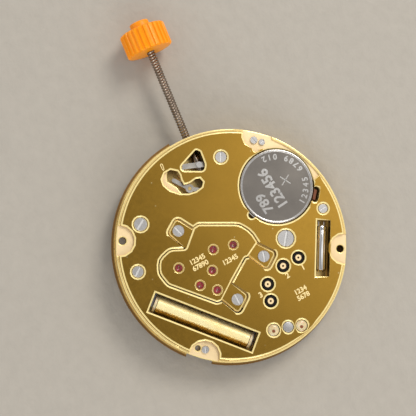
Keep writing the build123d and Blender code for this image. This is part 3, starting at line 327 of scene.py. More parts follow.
def level_regions(bm, heights):
    """The level faces at the heights, in groups of faces that hang together."""
    left = dict.fromkeys(
        face for face in bm.faces
        if face.normal.z > LEVEL_NORMAL
        and any(abs(face.calc_center_median().z - height) < HEIGHT_TOLERANCE for height in heights)
    )
    regions = []
    while left:
        region, front = [], [left.popitem()[0]]
        while front:
            face = front.pop()
            region.append(face)
            for other in [other for edge in face.edges for other in edge.link_faces]:
                if other in left:
                    del left[other]
                    front.append(other)
        regions.append(region)
    return regions


def room_across(starts, ends, inward, levels):
    """How far each line lies, on the plan, from the nearest line's start at its level on its inward
    side."""
    run = ends - starts
    lengths = (run * run).sum(1)
    room = np.full(len(starts), np.inf)
    for place, level in zip(starts, levels):
        share = np.clip(((place - starts) * run).sum(1) / lengths, 0, 1)
        away = place - starts - run * share[:, None]
        distance = np.linalg.norm(away, axis=1)
        facing = (away * inward).sum(1) > FACING_SHARE * distance
        facing &= (distance > NO_DISTANCE) & (abs(levels - level) < HEIGHT_TOLERANCE)
        room = np.where(facing, np.minimum(room, distance), room)
    return room


def filled_again(bm, region):
    """Fills a level region again between its outer edge and its holes: of all triangles between its
    points, those from which a ray crosses the edges an odd number of times. Returns the new
    faces."""
    inside, level = set(region), region[0].verts[0].co.z
    edges = dict.fromkeys(edge for face in region for edge in face.edges)
    rim = [edge for edge in edges if sum(face in inside for face in edge.link_faces) == 1]
    bmesh.ops.delete(bm, geom=region, context="FACES_KEEP_BOUNDARY")
    verts = list(dict.fromkeys(vert for edge in rim for vert in edge.verts))
    order = {vert: n for n, vert in enumerate(verts)}
    pairs = [[order[vert] for vert in edge.verts] for edge in rim]
    points, lines, triangles, origins, kept, _ = delaunay_2d_cdt(
        [vert.co.xy for vert in verts], pairs, [], 0, FILL_TOLERANCE
    )
    x, y = np.array(points).T
    first, last = np.array([line for line, origin in zip(lines, kept) if origin]).T
    corners = [
        verts[origin[0]] if origin else bm.verts.new((*point, level))
        for point, origin in zip(points, origins)
    ]
    faces = []
    for triangle in triangles:
        px, py = x[triangle].mean(), y[triangle].mean()
        across = (y[first] > py) != (y[last] > py)
        a, b = first[across], last[across]
        if (x[a] + (py - y[a]) * (x[b] - x[a]) / (y[b] - y[a]) > px).sum() % 2:
            faces.append(bm.faces.new([corners[n] for n in triangle]))
    return faces


def edge_strips(bm, loose, width, depth):
    """For each point of the split upper edges, the four points down its rounded edge. The edge of
    the top moves in by the width, less where there is little room or a jewel stands near, and the
    wall's edge moves down by the depth. Two points on a quarter ellipse come between them."""
    rims, inward, walls = [], [], {}
    for edge in [edge for edge in open_edges(bm) if edge not in loose]:
        first, last = ends_of(edge)
        if edge.link_faces[0].normal.z > LEVEL_NORMAL:
            run = (last.co - first.co).normalized()
            rims.append((first, last))
            inward.append((-run.y, run.x))
        else:
            walls.update((spot(vert), vert) for vert in (first, last))
    inward = np.array(inward)
    starts, ends = [np.array([pair[side].co.xy for pair in rims]) for side in (0, 1)]
    levels = np.array([first.co.z for first, last in rims])
    sides = {}
    for pair, side, space in zip(rims, inward, room_across(starts, ends, inward, levels)):
        for vert in pair:
            sides.setdefault(vert, []).append((side, space))
    strips = {}
    for vert, ((side, space), *others) in sides.items():
        wall = walls.get(spot(vert))
        if wall is None or len(others) != 1:
            continue
        other, other_space = others[0]
        move = (side + other) * (width / max(1 + side @ other, CORNER_LEAST))
        jewel_distance = min(math.dist(vert.co.xy, place) for place in JEWEL_PLACES)
        sink = jewel_distance < SINK_REACH and vert.co.z > (EAR_TOP + BRIDGE_TOP) / 2
        room = ROOM_SHARE * min(space, other_space) / np.linalg.norm(move)
        move = Vector((*(move * min(SINK_SHARE if sink else 1, room)), 0))
        corner, rows = vert.co.copy(), [vert]
        for angle in STRIP_ANGLES:
            a = math.radians(angle)
            drop = Vector((0, 0, depth * (1 - math.cos(a))))
            rows.append(bm.verts.new(corner + move * (1 - math.sin(a)) - drop))
        strips[vert] = rows + [wall]
        vert.co = corner + move
    for rows in strips.values():
        rows[-1].co.z -= depth
    return strips


def bevelled_copy(name, node, heights, width, depth, finishes, pad_radius):
    """A copy of a CAD node, joined to flat faces, whose upper edges at some heights are rounded off
    by three strips in the second finish, a painted highlight. Level faces at the plate's height
    within the pads' radius take the third finish. Gaps that are left where edges end are closed in
    the second.
    Level faces are shaded flat, so that the strips beside them leave no streaks."""
    bm = bmesh.new()
    bm.from_mesh(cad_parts[node].data)
    bm.transform(Matrix.Scale(1 / MM, 4))
    bmesh.ops.remove_doubles(bm, verts=bm.verts, dist=CAD_MERGE_DISTANCE)
    bmesh.ops.dissolve_limit(
        bm, angle_limit=math.radians(CAD_FLAT_ANGLE), verts=bm.verts, edges=bm.edges
    )
    bm.normal_update()
    loose = set(open_edges(bm))
    bmesh.ops.split_edges(bm, edges=edge_loops(bm, heights))
    strips = edge_strips(bm, loose, width, depth)
    for face in bm.faces:
        face.material_index = 0
    for region in level_regions(bm, heights):
        for face in filled_again(bm, region):
            face.normal_update()
            centre = face.calc_center_median()
            low = abs(centre.z - PLATE_TOP) < HEIGHT_TOLERANCE
            face.material_index = 2 if low and centre.xy.length < pad_radius else 0
    for edge in open_edges(bm):
        first, last = [strips.get(vert, [vert] * (STRIPS + 1)) for vert in ends_of(edge)]
        for row in range(STRIPS):
            corners = dict.fromkeys((last[row], first[row], first[row + 1], last[row + 1]))
            if len(corners) > 2:
                bm.faces.new(tuple(corners)).material_index = 1
    bmesh.ops.remove_doubles(bm, verts=bm.verts, dist=MERGE_DISTANCE)
    for face in bmesh.ops.holes_fill(bm, edges=open_edges(bm), sides=0)["faces"]:
        face.material_index = 1
    mesh = bpy.data.meshes.new(name)
    finish_piece(name, bm, mesh, finishes, "movement", (node,), PLATE_SHARP_ANGLE)
    for polygon in mesh.polygons:
        if abs(polygon.normal.z) > FLAT_NORMAL:
            polygon.use_smooth = False


# Plain figures

MARK_TURN = -84.5


def ring_figures(text, place, radius, first, last, size):
    """The figures of a text at equal angles round a place, each with its foot towards it."""
    angles = np.linspace(first, last, len(text))
    return tuple(
        (figure, on_plan(radius, 0, place, angle), angle + 90, size)
        for figure, angle in zip(text, angles) if figure != " "
    )


# Plain figures that stand where the movement carries marks, as text, place, direction and size
COVER_FIGURES = (
    ("1", (-5.02, -5.90), MARK_TURN, 0.80),
    ("2", (-5.18, -4.03), MARK_TURN, 0.80),
    ("3", (-5.94, -0.61), MARK_TURN, 0.80),
    ("1234", (-7.12, -4.69), MARK_TURN, 0.72),
    ("5678", (-7.80, -4.75), MARK_TURN, 0.72),
)
BRIDGE_FIGURES = (
    ("12345", (0.02, 4.10), MARK_TURN, 0.72),
    ("67890", (-0.68, 4.03), MARK_TURN, 0.72),
    ("12345", (-1.32, 0.93), MARK_TURN, 0.72),
)
CELL_FIGURES = (
    ("123456", (3.82, -6.25), 10.0, 1.55),
    ("789", (2.75, -4.80), 10.0, 1.45),
    *ring_figures("12345 6789 012", CELL_PLACE, 3.15, -143, 3, 0.85),
)

# Figures as piece, rows, height, finish, body and slot
FIGURES = (
    ("cover_figures", COVER_FIGURES, COVER_TOP + 0.004, "figure", "movement", "cover_gilt"),
    ("bridge_figures", BRIDGE_FIGURES, BRIDGE_TOP + 0.004, "figure", "movement", "bridge_gilt"),
    ("cell_figures", CELL_FIGURES, CELL_TOP + 0.004, "cell_highlight_and_marks", "cell", "cell_steel"),
)

# How much bolder than the font they are as a share of the size, half their thickness, the steps of
# their curves, and the angle over which an edge stays sharp
FIGURE_BOLDNESS, FIGURE_HALF_THICKNESS, FIGURE_STEPS, FIGURE_SHARP_ANGLE = 0.03, 0.008, 3, 30


def figures(rows, height):
    """Plain figures as one mesh: each row is its text, its place, its direction and its size."""
    bm = bmesh.new()
    for text, place, turn, size in rows:
        curve = bpy.data.curves.new("figures", "FONT")
        curve.body, curve.size, curve.offset = text, size, FIGURE_BOLDNESS * size
        curve.align_x = curve.align_y = "CENTER"
        curve.extrude = FIGURE_HALF_THICKNESS
        curve.resolution_u = FIGURE_STEPS
        holder = bpy.data.objects.new("figures", curve)
        mesh = bpy.data.meshes.new_from_object(holder)
        direction = Matrix.Rotation(math.radians(turn), 4, "Z")
        mesh.transform(Matrix.Translation((*place, height)) @ direction)
        mesh.materials.clear()
        bm.from_mesh(mesh)
        bpy.data.objects.remove(holder)
        bpy.data.curves.remove(curve)
    return bm


# Shader node groups and materials

def new_group(name, inputs, outputs):
    """An empty shader node group with its sockets; returns the tree and its two end nodes."""
    tree = bpy.data.node_groups.new(name, "ShaderNodeTree")
    for label, kind, value in inputs:
        socket = tree.interface.new_socket(label, in_out="INPUT", socket_type=kind)
        socket.default_value = value
    for label, kind in outputs:
        tree.interface.new_socket(label, in_out="OUTPUT", socket_type=kind)
    return tree, tree.nodes.new("NodeGroupInput"), tree.nodes.new("NodeGroupOutput")


def add(tree, kind, values=(), **settings):
    """A node with its settings. Each of the values goes into the input of its label: an output is
    linked to it, and anything else is set."""
    node = tree.nodes.new(kind)
    for key, value in settings.items():
        setattr(node, key, value)
    for label, value in dict(values).items():
        if isinstance(value, bpy.types.NodeSocket):
            tree.links.new(value, node.inputs[label])
        else:
            node.inputs[label].default_value = value
    return node


def object_place(tree):
    """The place on the piece."""
    return add(tree, "ShaderNodeTexCoord").outputs["Object"]


def mapped(tree, source, low, high, to_low=0.0, to_high=1.0):
    """A clamped Map Range node on a value; returns its result."""
    values = {"Value": source, "From Min": low, "From Max": high}
    values.update({"To Min": to_low, "To Max": to_high})
    return add(tree, "ShaderNodeMapRange", values).outputs["Result"]


def product(tree, first, second):
    """The product of two values."""
    return add(tree, "ShaderNodeMath", {0: first, 1: second}, operation="MULTIPLY").outputs[0]


def blended(tree, amount, first, second):
    """A colour mix by an amount; returns its result."""
    values = {0: amount, 6: first, 7: second}
    return add(tree, "ShaderNodeMix", values, data_type="RGBA").outputs[2]


def bumped(tree, height, distance):
    """A bump of half strength by a height; returns its normal."""
    values = {"Strength": 0.5, "Distance": distance, "Height": height}
    return add(tree, "ShaderNodeBump", values).outputs["Normal"]


def clouds_group():
    """Clouds: a soft mottle between two colours, with rare bright specks: specks of dust on most
    finishes, and painted highlights on the ruby. A speck is the middle of a cell, in the few cells
    whose random colour is high."""
    tree, start, end = new_group(
        "Clouds and specks",
        (
            ("Colour", "NodeSocketColor", (0.5, 0.5, 0.5, 1)),
            ("Cloud Colour", "NodeSocketColor", (0.3, 0.3, 0.3, 1)),
            ("Speck Colour", "NodeSocketColor", (0.9, 0.9, 0.9, 1)),
            ("Cloud Scale", "NodeSocketFloat", 300.0),
            ("Cloud Amount", "NodeSocketFloat", 0.5),
            ("Speck Scale", "NodeSocketFloat", 1500.0),
            ("Speck Amount", "NodeSocketFloat", 0.5),
        ),
        (("Colour", "NodeSocketColor"), ("Speck Mask", "NodeSocketFloat")),
    )
    given = start.outputs
    place = object_place(tree)
    values = {"Detail": 4.0, "Vector": place, "Scale": given["Cloud Scale"]}
    noise = add(tree, "ShaderNodeTexNoise", values)
    cloud = product(tree, mapped(tree, noise.outputs[0], 0.35, 0.68), given["Cloud Amount"])
    dots = add(tree, "ShaderNodeTexVoronoi", {"Vector": place, "Scale": given["Speck Scale"]})
    near = mapped(tree, dots.outputs["Distance"], 0.05, 0.12, 1.0, 0.0)
    split = add(tree, "ShaderNodeSeparateColor", {0: dots.outputs["Color"]})
    chosen = mapped(tree, split.outputs[0], 0.80, 0.86)
    mask = product(tree, product(tree, near, chosen), given["Speck Amount"])
    base = blended(tree, cloud, given["Colour"], given["Cloud Colour"])
    tree.links.new(blended(tree, mask, base, given["Speck Colour"]), end.inputs["Colour"])
    tree.links.new(mask, end.inputs["Speck Mask"])


def grain_group():
    """Grain: fine noise stretched along one direction, for brushed and polished metal."""
    tree, start, end = new_group(
        "Brushed grain",
        (
            ("Scale", "NodeSocketFloat", 3000.0),
            ("Stretch", "NodeSocketVector", (1.0, 1.0, 1.0)),
            ("Smooth", "NodeSocketFloat", 0.2),
            ("Rough", "NodeSocketFloat", 0.4),
        ),
        (("Height", "NodeSocketFloat"), ("Roughness", "NodeSocketFloat")),
    )
    given = start.outputs
    values = {0: object_place(tree), 1: given["Stretch"]}
    stretch = add(tree, "ShaderNodeVectorMath", values, operation="MULTIPLY")
    values = {"Detail": 5.0, "Vector": stretch.outputs[0], "Scale": given["Scale"]}
    value = mapped(tree, add(tree, "ShaderNodeTexNoise", values).outputs[0], 0.3, 0.7)
    values = {0: value, 2: given["Smooth"], 3: given["Rough"]}
    rough = add(tree, "ShaderNodeMix", values, data_type="FLOAT")
    tree.links.new(value, end.inputs["Height"])
    tree.links.new(rough.outputs[0], end.inputs["Roughness"])


def surface(name, colour, cloud, speck, clouds=(300.0, 0.5), specks=(1500.0, 0.4), grain=3000.0,
            rough=(0.2, 0.35), metallic=1.0, bump=0.000002, stretch=(1, 1, 1), **sockets):
    """A material: clouded colour with specks, grained roughness and a fine bump. Clouds and specks
    are given as scale and amount, and roughness as its least and its most."""
    material = bpy.data.materials.new(name)
    material.use_nodes = True
    tree = material.node_tree
    shader = tree.nodes["Principled BSDF"]
    tint = add(tree, "ShaderNodeGroup", node_tree=bpy.data.node_groups["Clouds and specks"])
    marks = add(tree, "ShaderNodeGroup", node_tree=bpy.data.node_groups["Brushed grain"])
    for node, label, value in (
        (tint, "Colour", (*colour, 1)), (tint, "Cloud Colour", (*cloud, 1)),
        (tint, "Speck Colour", (*speck, 1)),
        (tint, "Cloud Scale", clouds[0]), (tint, "Cloud Amount", clouds[1]),
        (tint, "Speck Scale", specks[0]), (tint, "Speck Amount", specks[1]),
        (marks, "Scale", grain), (marks, "Stretch", stretch),
        (marks, "Smooth", rough[0]), (marks, "Rough", rough[1]), (shader, "Metallic", metallic),
    ):
        node.inputs[label].default_value = value
    tree.links.new(tint.outputs["Colour"], shader.inputs["Base Color"])
    tree.links.new(marks.outputs["Roughness"], shader.inputs["Roughness"])
    tree.links.new(bumped(tree, marks.outputs["Height"], bump), shader.inputs["Normal"])
    for label, value in sockets.items():
        shader.inputs[label.replace("_", " ")].default_value = value
    return material


def plate_painted_shade(material, flange_shade_colour, pocket_shade_colour):
    """Blends a material's colour to a darker one, painted shade, on the flange's outer border, and
    to another dark one, painted shade, deep in the plate's pockets. The ranges of radius and height
    are where each blend starts and ends."""
    tree = material.node_tree
    colours = tree.nodes["Principled BSDF"].inputs["Base Color"]
    place = object_place(tree)
    flat = add(tree, "ShaderNodeVectorMath", {0: place, 1: (1, 1, 0)}, operation="MULTIPLY")
    length = add(tree, "ShaderNodeVectorMath", {0: flat.outputs["Vector"]}, operation="LENGTH")
    distance = length.outputs["Value"]
    height = add(tree, "ShaderNodeSeparateXYZ", {0: place}).outputs["Z"]
    # Painted shade: the flange's outer border turns darker
    shade_border = mapped(tree, distance, (FLANGE_RADIUS - 0.32) * MM, (FLANGE_RADIUS - 0.2) * MM)
    above = mapped(tree, height, 1.0 * MM, 1.05 * MM)
    below = mapped(tree, height, (PLATE_TOP - 0.5) * MM, (PLATE_TOP - 0.1) * MM, 1.0, 0.0)
    inside = mapped(tree, distance, (PAD_RADIUS - 0.5) * MM, (PAD_RADIUS - 0.4) * MM, 1.0, 0.0)
    # Painted shade: the deep floors of the pockets inside the pads' radius turn dark
    pocket_shade_mask = product(tree, product(tree, above, below), inside)
    tone = blended(tree, pocket_shade_mask, colours.links[0].from_socket, (*pocket_shade_colour, 1))
    tree.links.new(blended(tree, shade_border, tone, (*flange_shade_colour, 1)), colours)


def darker(colour, share):
    """A share of a colour's light."""
    return tuple(c * share for c in colour)


def make_finishes(chosen):
    """All the materials of the movement by key, from the colours of the property group."""
    clouds_group()
    grain_group()
    gilt, edge, frost, steel, crown = (
        tuple(colour)
        for colour in (chosen.gilt, chosen.gilt_edge_highlight, chosen.gilt_frost, chosen.steel, chosen.crown)
    )
    made = {
        "gilt": surface(
            "Gilt mirror", gilt, darker(gilt, 0.82), (1.0, 0.85, 0.5),
            (260.0, 0.5), (1300.0, 0.55), 2500.0, (0.12, 0.2), bump=0.0000006),
        # Painted highlight: a bright, barely metallic gilt on the polished edges and jewel sinks,
        # in place of their glint
        "gilt_edge_highlight": surface(
            "Gilt edge highlight", edge, darker(edge, 0.9), (1, 0.9, 0.7),
            (900.0, 0.4), (1500.0, 0.2), 4000.0, (0.16, 0.28), metallic=0.3),
        "figure": surface(
            "Gilt figures", (1.0, 0.80, 0.38), (0.9, 0.66, 0.28), (1, 0.95, 0.8),
            (900.0, 0.4), rough=(0.3, 0.4), metallic=0.2),
        "gilt_frost": surface(
            "Gilt frost", frost, darker(frost, 0.85), (1, 0.95, 0.8),
            (700.0, 0.5), (2500.0, 0.2), 9000.0, (0.38, 0.5), metallic=0.4, bump=0.000006),
        "gilt_rim": surface(
            "Gilt rim", (1.0, 0.76, 0.30), (0.66, 0.40, 0.11), (1, 0.9, 0.7),
            (700.0, 0.5), (2500.0, 0.3), 9000.0, (0.24, 0.38), metallic=0.7),
        "brass": surface("Brass wheel", (0.72, 0.50, 0.20), (0.5, 0.32, 0.1), (1, 0.9, 0.6)),
        "steel": surface(
            "Polished steel", steel, darker(steel, 0.8), (1, 1, 1),
            (700.0, 0.5), (2500.0, 0.1), 2000.0, (0.22, 0.32), metallic=0.8, bump=0.0000008,
            stretch=(1, 3, 1)),
        # Painted highlight: the slot's floor, the same steel as the head, is a bright, barely
        # metallic white
        "slot": surface(
            "Slot painted highlight", (0.86, 0.85, 0.83), (0.62, 0.61, 0.6), (1, 1, 1),
            (1500.0, 0.5), rough=(0.3, 0.4), metallic=0.3),
        "dark_steel": surface(
            "Dark steel", (0.30, 0.29, 0.28), (0.2, 0.19, 0.18), (0.8, 0.8, 0.8)),
        "spring": surface(
            "Spring steel", (0.62, 0.58, 0.52), (0.42, 0.38, 0.33), (1, 1, 1),
            (900.0, 0.6), (2500.0, 0.2), 3000.0, (0.15, 0.3)),
        "cell": surface(
            "Cell steel", (0.25, 0.226, 0.198), (0.165, 0.15, 0.135), (0.65, 0.65, 0.65),
            (180.0, 0.8), (2600.0, 0.2), 6000.0, (0.34, 0.46)),
        # A brighter steel: the painted highlight on the cell's groove and rolled edge, and its
        # raised plus and figures
        "cell_highlight_and_marks": surface("Cell highlight and marks", (0.62, 0.60, 0.57), (0.42, 0.40, 0.38), (1, 1, 1)),
        "can": surface(
            "Crystal can", (0.92, 0.91, 0.90), (0.7, 0.69, 0.68), (1, 1, 1),
            (700.0, 0.5), (2500.0, 0.2), 5000.0, (0.06, 0.12)),
        "iron": surface("Soft iron", (0.42, 0.40, 0.38), (0.3, 0.28, 0.26), (0.8, 0.8, 0.8)),
        # Lit and shaded copies of the winding's colour: a bright painted lit colour for its upper
        # side, and a darker painted shade for its lower side below a wavy line
        "winding_lit": surface(
            "Lit side of the winding", (1.0, 0.88, 0.48), (0.98, 0.76, 0.32), (1, 0.95, 0.75),
            (700.0, 0.6), (2500.0, 0.2), 5000.0, (0.22, 0.34), metallic=0.25),
        "winding_shade": surface(
            "Painted shade of the winding", (0.66, 0.42, 0.075), (0.26, 0.15, 0.015), (1, 0.8, 0.4),
            (1500.0, 0.7), (2500.0, 0.2), 5000.0, (0.22, 0.34), metallic=0.8),
        # The ruby's pale specks are painted highlights
        "ruby": surface(
            "Ruby", (0.33, 0.011, 0.017), (0.07, 0.002, 0.003), (1.0, 0.7, 0.7),
            (2600.0, 0.9), (3200.0, 0.5), 3000.0, (0.08, 0.15), metallic=0.0,
            Coat_Weight=0.2, IOR=1.76),
        "cream": surface(
            "Cream rivet", (0.78, 0.64, 0.40), (0.55, 0.40, 0.18), (1, 0.95, 0.85),
            (1300.0, 0.7), (2500.0, 0.2), 4000.0, (0.25, 0.4), metallic=0.0,
            Subsurface_Weight=0.2, Subsurface_Scale=0.0005, Coat_Weight=0.4),
        # Also the painted shade on the floor of each contact's hole
        "black": surface(
            "Black bush", (0.006, 0.004, 0.003), (0.012, 0.009, 0.007), (0.1, 0.1, 0.1),
            rough=(0.5, 0.7), metallic=0.0, Specular_IOR_Level=0.15),
        "board": surface(
            "Board", (0.10, 0.06, 0.02), (0.06, 0.035, 0.012), (0.4, 0.35, 0.2),
            rough=(0.4, 0.6), metallic=0.0),
        "brown": surface(
            "Insulating sheet", (0.25, 0.07, 0.015), (0.14, 0.035, 0.01), (0.5, 0.3, 0.2),
            rough=(0.3, 0.5), metallic=0.0),
        "stem": surface(
            "Stem steel", (0.28, 0.225, 0.175), (0.12, 0.085, 0.06), (0.9, 0.85, 0.75),
            (1200.0, 0.6), (4000.0, 0.2), 5000.0, (0.16, 0.3)),
        "crown": surface(
            "Orange plastic", crown, darker(crown, 0.86), (1, 0.7, 0.3),
            (350.0, 0.35), (1500.0, 0.1), 6000.0, (0.32, 0.45), metallic=0.0,
            Subsurface_Weight=0.1, Subsurface_Scale=0.0006, Coat_Weight=0.03,
            Specular_IOR_Level=0.3),
    }
    # Painted shade on the main plate's flange border and deep in its pockets, on its rim and its
    # edges
    for key in ("gilt_rim", "gilt_edge_highlight"):
        plate_painted_shade(made[key], (0.26, 0.14, 0.04), (0.10, 0.055, 0.015))
    return made


# The finish of each CAD node that keeps its own shape
CAD_FINISHES = {
    "lower_jewels": "ruby", "circuit_board": "board", "control_chip": "black", "stator": "iron",
    "stator_screws": "steel", "coil_core": "iron", "coil_cheeks": "cream",
    "battery_insulator": "brown", "minus_contact": "spring", "plus_contact": "spring",
    "rotor_magnet": "dark_steel", "rotor_pinion": "steel", "second_wheel": "brass",
    "seconds_wheel": "brass", "third_wheel": "brass", "transfer_wheel": "brass",
    "centre_wheel": "brass", "cannon_pinion": "steel", "minute_wheel": "brass",
    "hour_wheel": "brass", "setting_wheel": "steel", "motion_cock": "spring",
    "cock_screws": "steel", "sliding_clutch": "steel", "setting_lever": "spring",
    "lever_pin": "steel", "yoke": "spring", "jumper_spring": "spring",
}

# The name of the material that the finishes' operator made for each key
FINISH_NAMES = {}


def finish_of(key):
    """The material of a key."""
    return bpy.data.materials[FINISH_NAMES[key]]


# Settings

class MOVEMENT_PG_finish(bpy.types.PropertyGroup):
    """Sizes and colours of the dressed movement."""

    gilt: FloatVectorProperty(
        name="Gilt", description="Colour of the mirror gilt cover and bridge",
        subtype="COLOR", size=3, default=(0.50, 0.28, 0.042))
    # Painted highlight: the brighter colour that the polished edges take in place of their glint
    gilt_edge_highlight: FloatVectorProperty(
        name="Gilt edge highlight", description="Colour of the polished edges",
        subtype="COLOR", size=3, default=(1.0, 0.80, 0.34))
    gilt_frost: FloatVectorProperty(
        name="Gilt frost", description="Colour of the frosted pads and the contacts",
        subtype="COLOR", size=3, default=(0.98, 0.75, 0.42))
    steel: FloatVectorProperty(
        name="Steel", description="Colour of the screws",
        subtype="COLOR", size=3, default=(0.62, 0.60, 0.58))
    crown: FloatVectorProperty(
        name="Crown", description="Colour of the plastic crown",
        subtype="COLOR", size=3, default=(1.0, 0.335, 0.003))
    floor: FloatVectorProperty(
        name="Floor", description="Colour of the floor",
        subtype="COLOR", size=3, default=(0.43, 0.395, 0.34))
    edge_width: FloatProperty(
        name="Edge width", description="Width of the rounded edges of the cover and bridge",
        subtype="DISTANCE", unit="LENGTH", default=0.00017)
    thread_pitch: FloatProperty(
        name="Thread pitch", description="Pitch of the stem's thread",
        subtype="DISTANCE", unit="LENGTH", default=0.0003)
    thread_depth: FloatProperty(
        name="Thread depth", description="Depth of the stem's thread",
        subtype="DISTANCE", unit="LENGTH", default=0.0001)
    wire_pitch: FloatProperty(
        name="Wire pitch", description="Distance between turns of the winding",
        subtype="DISTANCE", unit="LENGTH", default=0.00011)
    ribs: IntProperty(name="Ribs", description="Ribs round the crown", default=26)


# Operators, each after the sizes of its pieces

class MOVEMENT_OT_finishes(bpy.types.Operator):
    """Make the finishes and give them to the CAD pieces that keep their own shape"""

    bl_idname = "movement.finishes"
    bl_label = "Finishes"

    def execute(self, context):
        for key, material in make_finishes(context.scene.movement).items():
            FINISH_NAMES[key] = material.name
        for node, key in CAD_FINISHES.items():
            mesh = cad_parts[node].data
            mesh.materials.clear()
            mesh.materials.append(finish_of(key))
        return {"FINISHED"}


class MOVEMENT_OT_plates(bpy.types.Operator):
    """Cover, train bridge and main plate with polished edges"""

    bl_idname = "movement.plates"
    bl_label = "Plates"

    def execute(self, context):
        width = context.scene.movement.edge_width / MM
        for name, node, heights, width_share, depth_share, finishes, slot, pad_radius in PLATES:
            bevelled_copy(name, node, heights, width * width_share, width * depth_share, finishes,
                          pad_radius)
        return {"FINISHED"}


# Screw heads as piece, screws, CAD node and depth of the slot
SCREW_HEADS = (
    ("cover_screw_heads", COVER_SCREWS, "cover_screws", 0.09),
    ("bridge_screw_heads", BRIDGE_SCREWS, "bridge_screws", 0.09),
    ("lug_screw_heads", LUG_SCREWS, "lug_screws", 0.09),
    ("post_head", (POST,), "slotted_post", 0.12),
)


class MOVEMENT_OT_screws(bpy.types.Operator):
    """The slotted screws of the cover, the bridge and the lugs, and the large post"""

    bl_idname = "movement.screws"
    bl_label = "Screws"

    def execute(self, context):
        for name, screws, node, depth in SCREW_HEADS:
            heads = [shape for screw in screws for shape in slotted_head(*screw, depth)]
            make_piece(name, heads, ("steel", "slot"), "movement", (node,))
        return {"FINISHED"}


# Profiles as (radius, height). The jewel's runs up its pivot hole, along the bowl and down its rim.
JEWEL_HOLE = 0.078
JEWEL_FOOT = 1.97
JEWEL_SIDES = 48
JEWEL_PROFILE = (
    (JEWEL_HOLE, JEWEL_FOOT), (JEWEL_HOLE, 2.16),
    *arc((JEWEL_HOLE, 2.25), (0.16, -0.09), 0.1, 1.5, 6),
    (0.33, 2.262), (0.385, 2.245), (0.395, 2.2), (0.395, JEWEL_FOOT), (JEWEL_HOLE, JEWEL_FOOT),
)
SINK_PROFILE = ((0.43, 2.28), (0.43, 2.33), (0.445, 2.362), (0.457, 2.37), (0.47, 2.36))


class MOVEMENT_OT_jewels(bpy.types.Operator):
    """The bridge's six jewels, each with a bowl round its pivot hole, and the sinks, whose
    brightness is painted highlight
    """

    bl_idname = "movement.jewels"
    bl_label = "Jewels"

    def execute(self, context):
        jewels = [turned(JEWEL_PROFILE, place, JEWEL_SIDES) for place in JEWEL_PLACES]
        sinks = [turned(SINK_PROFILE, place, JEWEL_SIDES) for place in JEWEL_PLACES]
        make_piece("bridge_jewels", jewels, ("ruby",), "movement", ("upper_jewels",))
        make_piece("jewel_sinks", sinks, ("gilt_edge_highlight",), "movement")
        return {"FINISHED"}


# The floor of the hole in each contact's middle is painted black as shade. The contact's own
# profile runs up from there and down to the foot, and the bush's runs up its inside and down its
# outside.
BOSS_SIDES = 40
HOLE_SHADE_PROFILE = ((0, 2.25), (0.10, 2.25))
CONTACT_PROFILE = (
    (0.10, 2.25), (0.11, 2.39), (0.13, 2.41), (0.31, 2.41), (0.335, 2.38), (0.335, BOARD_TOP),
    (0, BOARD_TOP),
)
BUSH_PROFILE = (
    (0.365, BOARD_TOP), (0.365, 2.38), (0.40, 2.42), (0.56, 2.42), (0.60, 2.38),
    (0.60, BOARD_TOP), (0.365, BOARD_TOP),
)


class MOVEMENT_OT_contacts(bpy.types.Operator):
    """Gilt test contacts in their black bushes, each with painted black shade in the hole at its
    middle
    """

    bl_idname = "movement.contacts"
    bl_label = "Contacts"

    def execute(self, context):
        posts, bushes = [], []
        for place in CONTACT_PLACES:
            # Painted shade: the floor of the hole takes the black finish
            posts.append(turned(HOLE_SHADE_PROFILE, place, BOSS_SIDES, finish=1))
            posts.append(turned(CONTACT_PROFILE, place, BOSS_SIDES))
            bushes.append(turned(BUSH_PROFILE, place, BOSS_SIDES))
        make_piece("contact_posts", posts, ("gilt_frost", "black"), "movement",
                   ("test_contacts",))
        make_piece("bush_rings", bushes, ("black",), "movement",
                   ("contact_bushes",))
        return {"FINISHED"}


# The brown pit of a rivet stands a little off its middle
PIT_OFFSET = (-0.1, 0.05)
PIT_SIDES = 24
PIT_PROFILE = ((0, 2.432), (0.1, 2.432), (0.17, 2.425), (0.19, 2.41))
RIVET_PROFILE = (
    (0, 2.42), (0.34, 2.42), (0.42, 2.40), (0.5, 2.34), (0.56, 2.36), (0.595, 2.32),
    (0.595, BOARD_TOP), (0, BOARD_TOP),
)
# The pin's upper edge is a quarter round
PIN_RADIUS, PIN_TOP, PIN_EDGE = 0.55, 2.44, 0.06
PIN_PROFILE = (
    (0, PIN_TOP),
    *arc((PIN_RADIUS - PIN_EDGE, PIN_TOP - PIN_EDGE), (PIN_EDGE, PIN_EDGE), 0, np.pi / 2, 5),
    (PIN_RADIUS, BOARD_TOP), (0, BOARD_TOP),
)


class MOVEMENT_OT_rivets(bpy.types.Operator):
    """The two moulded rivets and the steel pin between them"""

    bl_idname = "movement.rivets"
    bl_label = "Rivets"

    def execute(self, context):
        heads = []
        for place in RIVET_PLACES:
            pit = (place[0] + PIT_OFFSET[0], place[1] + PIT_OFFSET[1])
            heads.append(turned(PIT_PROFILE, pit, PIT_SIDES, finish=1))
            heads.append(turned(RIVET_PROFILE, place, BOSS_SIDES))
        make_piece("rivet_heads", heads, ("cream", "brown"), "movement",
                   ("module_rivets",))
        pin = turned(PIN_PROFILE, LOCATING_PLACE, BOSS_SIDES)
        make_piece("pin_head", [pin], ("steel",), "movement", ("locating_pin",))
        return {"FINISHED"}


